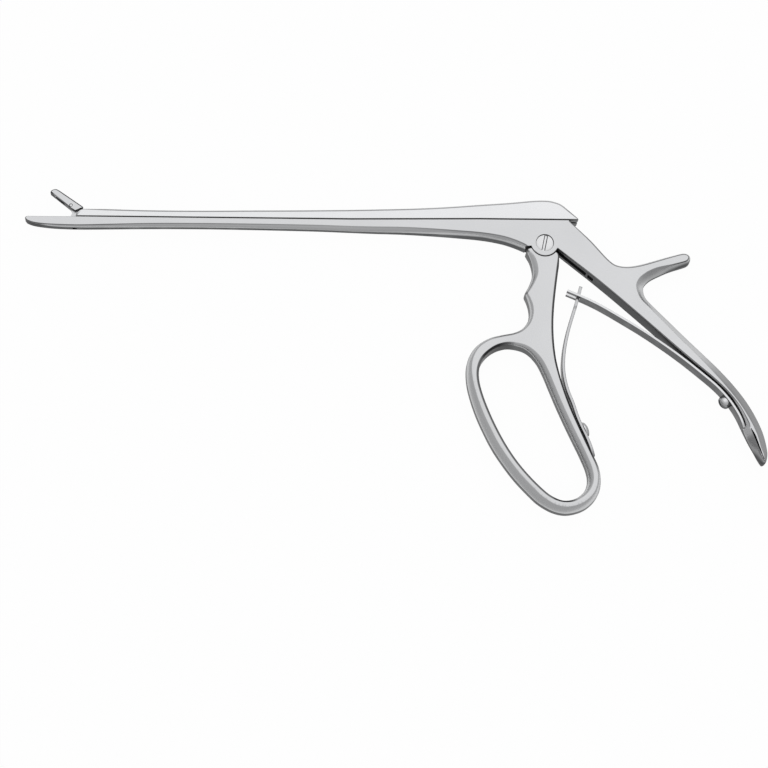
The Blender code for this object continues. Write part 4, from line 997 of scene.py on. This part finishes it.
def build_fastener():
    """A turned head with a screwdriver slot, its shank and a riveted tail, at each point."""
    sizes = (*PIVOT_SCREW, "Slot Turn")
    tree, given = geometry_tree("fastener", sizes, ("Material", "Slot Lip Shade Material"), ("Slotted",))
    head = domed_head(tree, given)
    choice = {"Switch": given["Slotted"], "False": head, "True": slotted_head(tree, given, head)}
    choice = node(tree, "GeometryNodeSwitch", choice, input_type="GEOMETRY")
    joined = node(tree, "GeometryNodeJoinGeometry")
    tree.links.new(choice.outputs[0], joined.inputs[0])
    shank_middle = math_node(tree, "MULTIPLY", given["Shank Length"], -0.5)
    tail_middle = math_node(tree, "MULTIPLY", given["Tail Height"], 0.5)
    tail_middle = math_node(tree, "SUBTRACT", tail_middle, given["Shank Length"])
    for radius, depth, height in (
        ("Shank Radius", "Shank Length", shank_middle),
        ("Tail Radius", "Tail Height", tail_middle),
    ):
        rod = cylinder_node(tree, given[radius], given[depth], ROD_SIDES)
        rod = painted(tree, move_node(tree, rod, height), given["Material"])
        tree.links.new(rod, joined.inputs[0])
    axis = {"Name": "axis"}
    axis = node(tree, "GeometryNodeInputNamedAttribute", axis, data_type="FLOAT_VECTOR")
    axis = {"Vector": axis.outputs["Attribute"]}
    facing = node(tree, "FunctionNodeAlignRotationToVector", axis, axis="Z").outputs[0]
    placed = {"Points": given["Geometry"], "Instance": joined.outputs[0], "Rotation": facing}
    placed = node(tree, "GeometryNodeInstanceOnPoints", placed)
    close_tree(tree, placed.outputs[0])
    return tree


FASTENER = build_fastener()
# The screw heads' leaning rims take painted shade, a dark outline round each dome.
screw_steel = steel("turned screw steel", (0.67, 0.673, 0.676), (0.1, 0.102, 0.105), 0.20, leans=(0.9, 0.3))


def fastener(name, replaced, body, place, axis, sizes, slot_turn=0.0):
    """A screw or pin whose head stands on its place and faces along its axis."""
    mesh = bpy.data.meshes.new(name)
    mesh.from_pydata([Vector(place) * MM], [], [])
    attribute = mesh.attributes.new("axis", "FLOAT_VECTOR", "POINT")
    attribute.data[0].vector = axis
    values = {label: size * MM for label, size in sizes.items()}
    values.update({"Slotted": "Slot Width" in sizes, "Slot Turn": math.radians(slot_turn)})
    values.update({"Material": screw_steel, "Slot Lip Shade Material": recess_shade_steel})
    obj = grow(name, mesh, FASTENER, values)
    finish_surface(obj)
    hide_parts(replaced)
    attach(obj, body)


def spring_seat(points, side, rise, back=0.0):
    """Where a spring's screw head stands, and the way it faces."""
    run = (Vector(points[SCREW_AT + 1]) - Vector(points[SCREW_AT - 1])).normalized()
    axis = Vector((-run.y * side, run.x * side, 0))
    return Vector((*(Vector(points[SCREW_AT]) - run * back), MID_Z)) + axis * rise, axis


UP = (0, 0, 1)
rear_seat = spring_seat(REAR_SPRING, 1, REAR_SPRING_T / 2 + REAR_SCREW_LIFT, REAR_SCREW_BACK)
front_seat = spring_seat(FRONT_SPRING, -1, FRONT_SPRING_T / 2 + FRONT_SCREW_LIFT)
rear_sizes = {**REAR_SCREW, **SPRING_SHANK}
front_sizes = {**FRONT_SCREW, **SPRING_SHANK}
pivot_place = (0, 0, PIVOT_SCREW_Z)
fastener("domed_rear_screw", "rear_spring_screw", "fixed_body", *rear_seat, rear_sizes)
fastener("domed_front_screw", "front_spring_screw", "handle", *front_seat, front_sizes)
fastener("flat_pivot_screw", "pivot_screw", "fixed_body", pivot_place, UP, PIVOT_SCREW, PIVOT_SLOT_TURN)
fastener("hinge_pin", "jaw_hinge_pin", "fixed_body", (*HINGE, PIN_Z), UP, pin(0.7, 0.05, 3.8, 0.66))
fastener("link_pin", "jaw_link_pin", "slide", (*LINK, PIN_Z), UP, pin(0.5, 0.05, 3.8, 0.46))
fastener("jaw_rivet", "jaw_rivet", "jaw", (*RIVET, RIVET_Z), UP, pin(0.5, 0.1, 4.2, 0.48))

# The jaw's tongue is the thin plate between the cup bar and the pins. It keeps the solid's
# own shape, and has the jaw's steel.
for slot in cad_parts["jaw_tongue"].material_slots:
    slot.material = jaw_steel

# The instrument lies on a wide white sweep under one broad overhead light. The far light
# is soft and even, and it fades to grey towards the horizon, so rounded edges read darker.
TABLE_HALF = 3.0
TABLE_Z = -0.0002
TABLE_WHITE = (0.94, 0.94, 0.94, 1.0)
TABLE_GLOW = 0.97
table_bm = bmesh.new()
corners = [(-1, -1), (1, -1), (1, 1), (-1, 1)]
table_bm.faces.new([table_bm.verts.new((x * TABLE_HALF, y * TABLE_HALF, TABLE_Z)) for x, y in corners])
table = link_mesh("white table", table_bm)
if table.data.polygons[0].normal.z < 0:
    table.data.flip_normals()
paper = bpy.data.materials.new("white table")
paper.use_nodes = True
tree = paper.node_tree
matt = tree.nodes["Principled BSDF"]
matt.inputs["Base Color"].default_value = TABLE_WHITE
matt.inputs["Roughness"].default_value = 0.9
matt.inputs["Specular IOR Level"].default_value = 0.0
glow = node(tree, "ShaderNodeEmission")
seen = node(tree, "ShaderNodeLightPath").outputs
rays = math_node(tree, "ADD", seen["Is Camera Ray"], seen["Is Glossy Ray"])
rays = math_node(tree, "ADD", rays, seen["Is Transmission Ray"], clamp=True)
whiten = math_node(tree, "MULTIPLY", rays, TABLE_GLOW)
mix = node(tree, "ShaderNodeMixShader", {0: whiten, 1: matt.outputs["BSDF"], 2: glow.outputs[0]})
tree.links.new(mix.outputs[0], tree.nodes["Material Output"].inputs["Surface"])
table.data.materials.append(paper)

SKY_AXIS = (0.12, 0.42, 0.9)
SKY_LEVELS = ((-1.0, 0.4), (-0.2, 0.5), (0.3, 0.55), (0.62, 0.62), (0.82, 0.8), (0.92, 1.08), (1.0, 1.16))
SKY_BLUE = 1.01
scene = bpy.context.scene
scene.view_settings.view_transform = "Standard"
world = bpy.data.worlds.new("studio")
scene.world = world
world.use_nodes = True
tree = world.node_tree
place = node(tree, "ShaderNodeTexCoord")
upwards = {0: place.outputs["Generated"], 1: Vector(SKY_AXIS).normalized()}
facing = node(tree, "ShaderNodeVectorMath", upwards, operation="DOT_PRODUCT")
half = math_node(tree, "MULTIPLY_ADD", facing.outputs["Value"], 0.5, 0.5)
ramp = node(tree, "ShaderNodeValToRGB", {"Fac": half})
while len(ramp.color_ramp.elements) < len(SKY_LEVELS):
    ramp.color_ramp.elements.new(0.5)
for element, (position, level) in zip(ramp.color_ramp.elements, SKY_LEVELS):
    element.position = (position + 1) / 2
    element.color = (level, level, level * SKY_BLUE, 1.0)
tree.links.new(ramp.outputs["Color"], tree.nodes["Background"].inputs["Color"])

KEY_WIDTH = 0.7
KEY_DEPTH = 0.5
KEY_WATTS = 0.2
KEY_PLACE = (0.45, 0.85, 0.8)
KEY_TARGET = (-0.05, -0.04, 0.0)
key_data = bpy.data.lights.new("overhead softbox", "AREA")
key_data.shape = "RECTANGLE"
key_data.size = KEY_WIDTH
key_data.size_y = KEY_DEPTH
key_data.energy = KEY_WATTS
key = bpy.data.objects.new("overhead softbox", key_data)
key.location = KEY_PLACE
key.rotation_euler = (Vector(KEY_TARGET) - key.location).to_track_quat("-Z", "Y").to_euler()
scene.collection.objects.link(key)

# The camera stands over the handles' side, tilted a little, as the instrument was shown.
CAMERA_TILT = 17.0
CAMERA_TURN = 3.0
CAMERA_ROLL = 0.445
CAMERA_PLACE = (-0.11965, -0.37328, 1.03916)
LENS_MM = 132.55
SENSOR_MM = 36.0
tilt, turn, roll = (math.radians(v) for v in (CAMERA_TILT, CAMERA_TURN, CAMERA_ROLL))
back = Vector((-math.sin(turn), -math.sin(tilt) * math.cos(turn), math.cos(tilt) * math.cos(turn)))
up = Vector((0, math.cos(tilt), math.sin(tilt)))
right = up.cross(back)
rolled_right = right * math.cos(roll) + up * math.sin(roll)
rolled_up = up * math.cos(roll) - right * math.sin(roll)
camera_data = bpy.data.cameras.new("photo camera")
camera_data.lens = LENS_MM
camera_data.sensor_width = SENSOR_MM
camera_data.clip_end = 20.0
camera = bpy.data.objects.new("photo camera", camera_data)
axes = Matrix((rolled_right, rolled_up, back)).transposed().to_4x4()
camera.matrix_world = Matrix.Translation(CAMERA_PLACE) @ axes
scene.collection.objects.link(camera)
scene.camera = camera
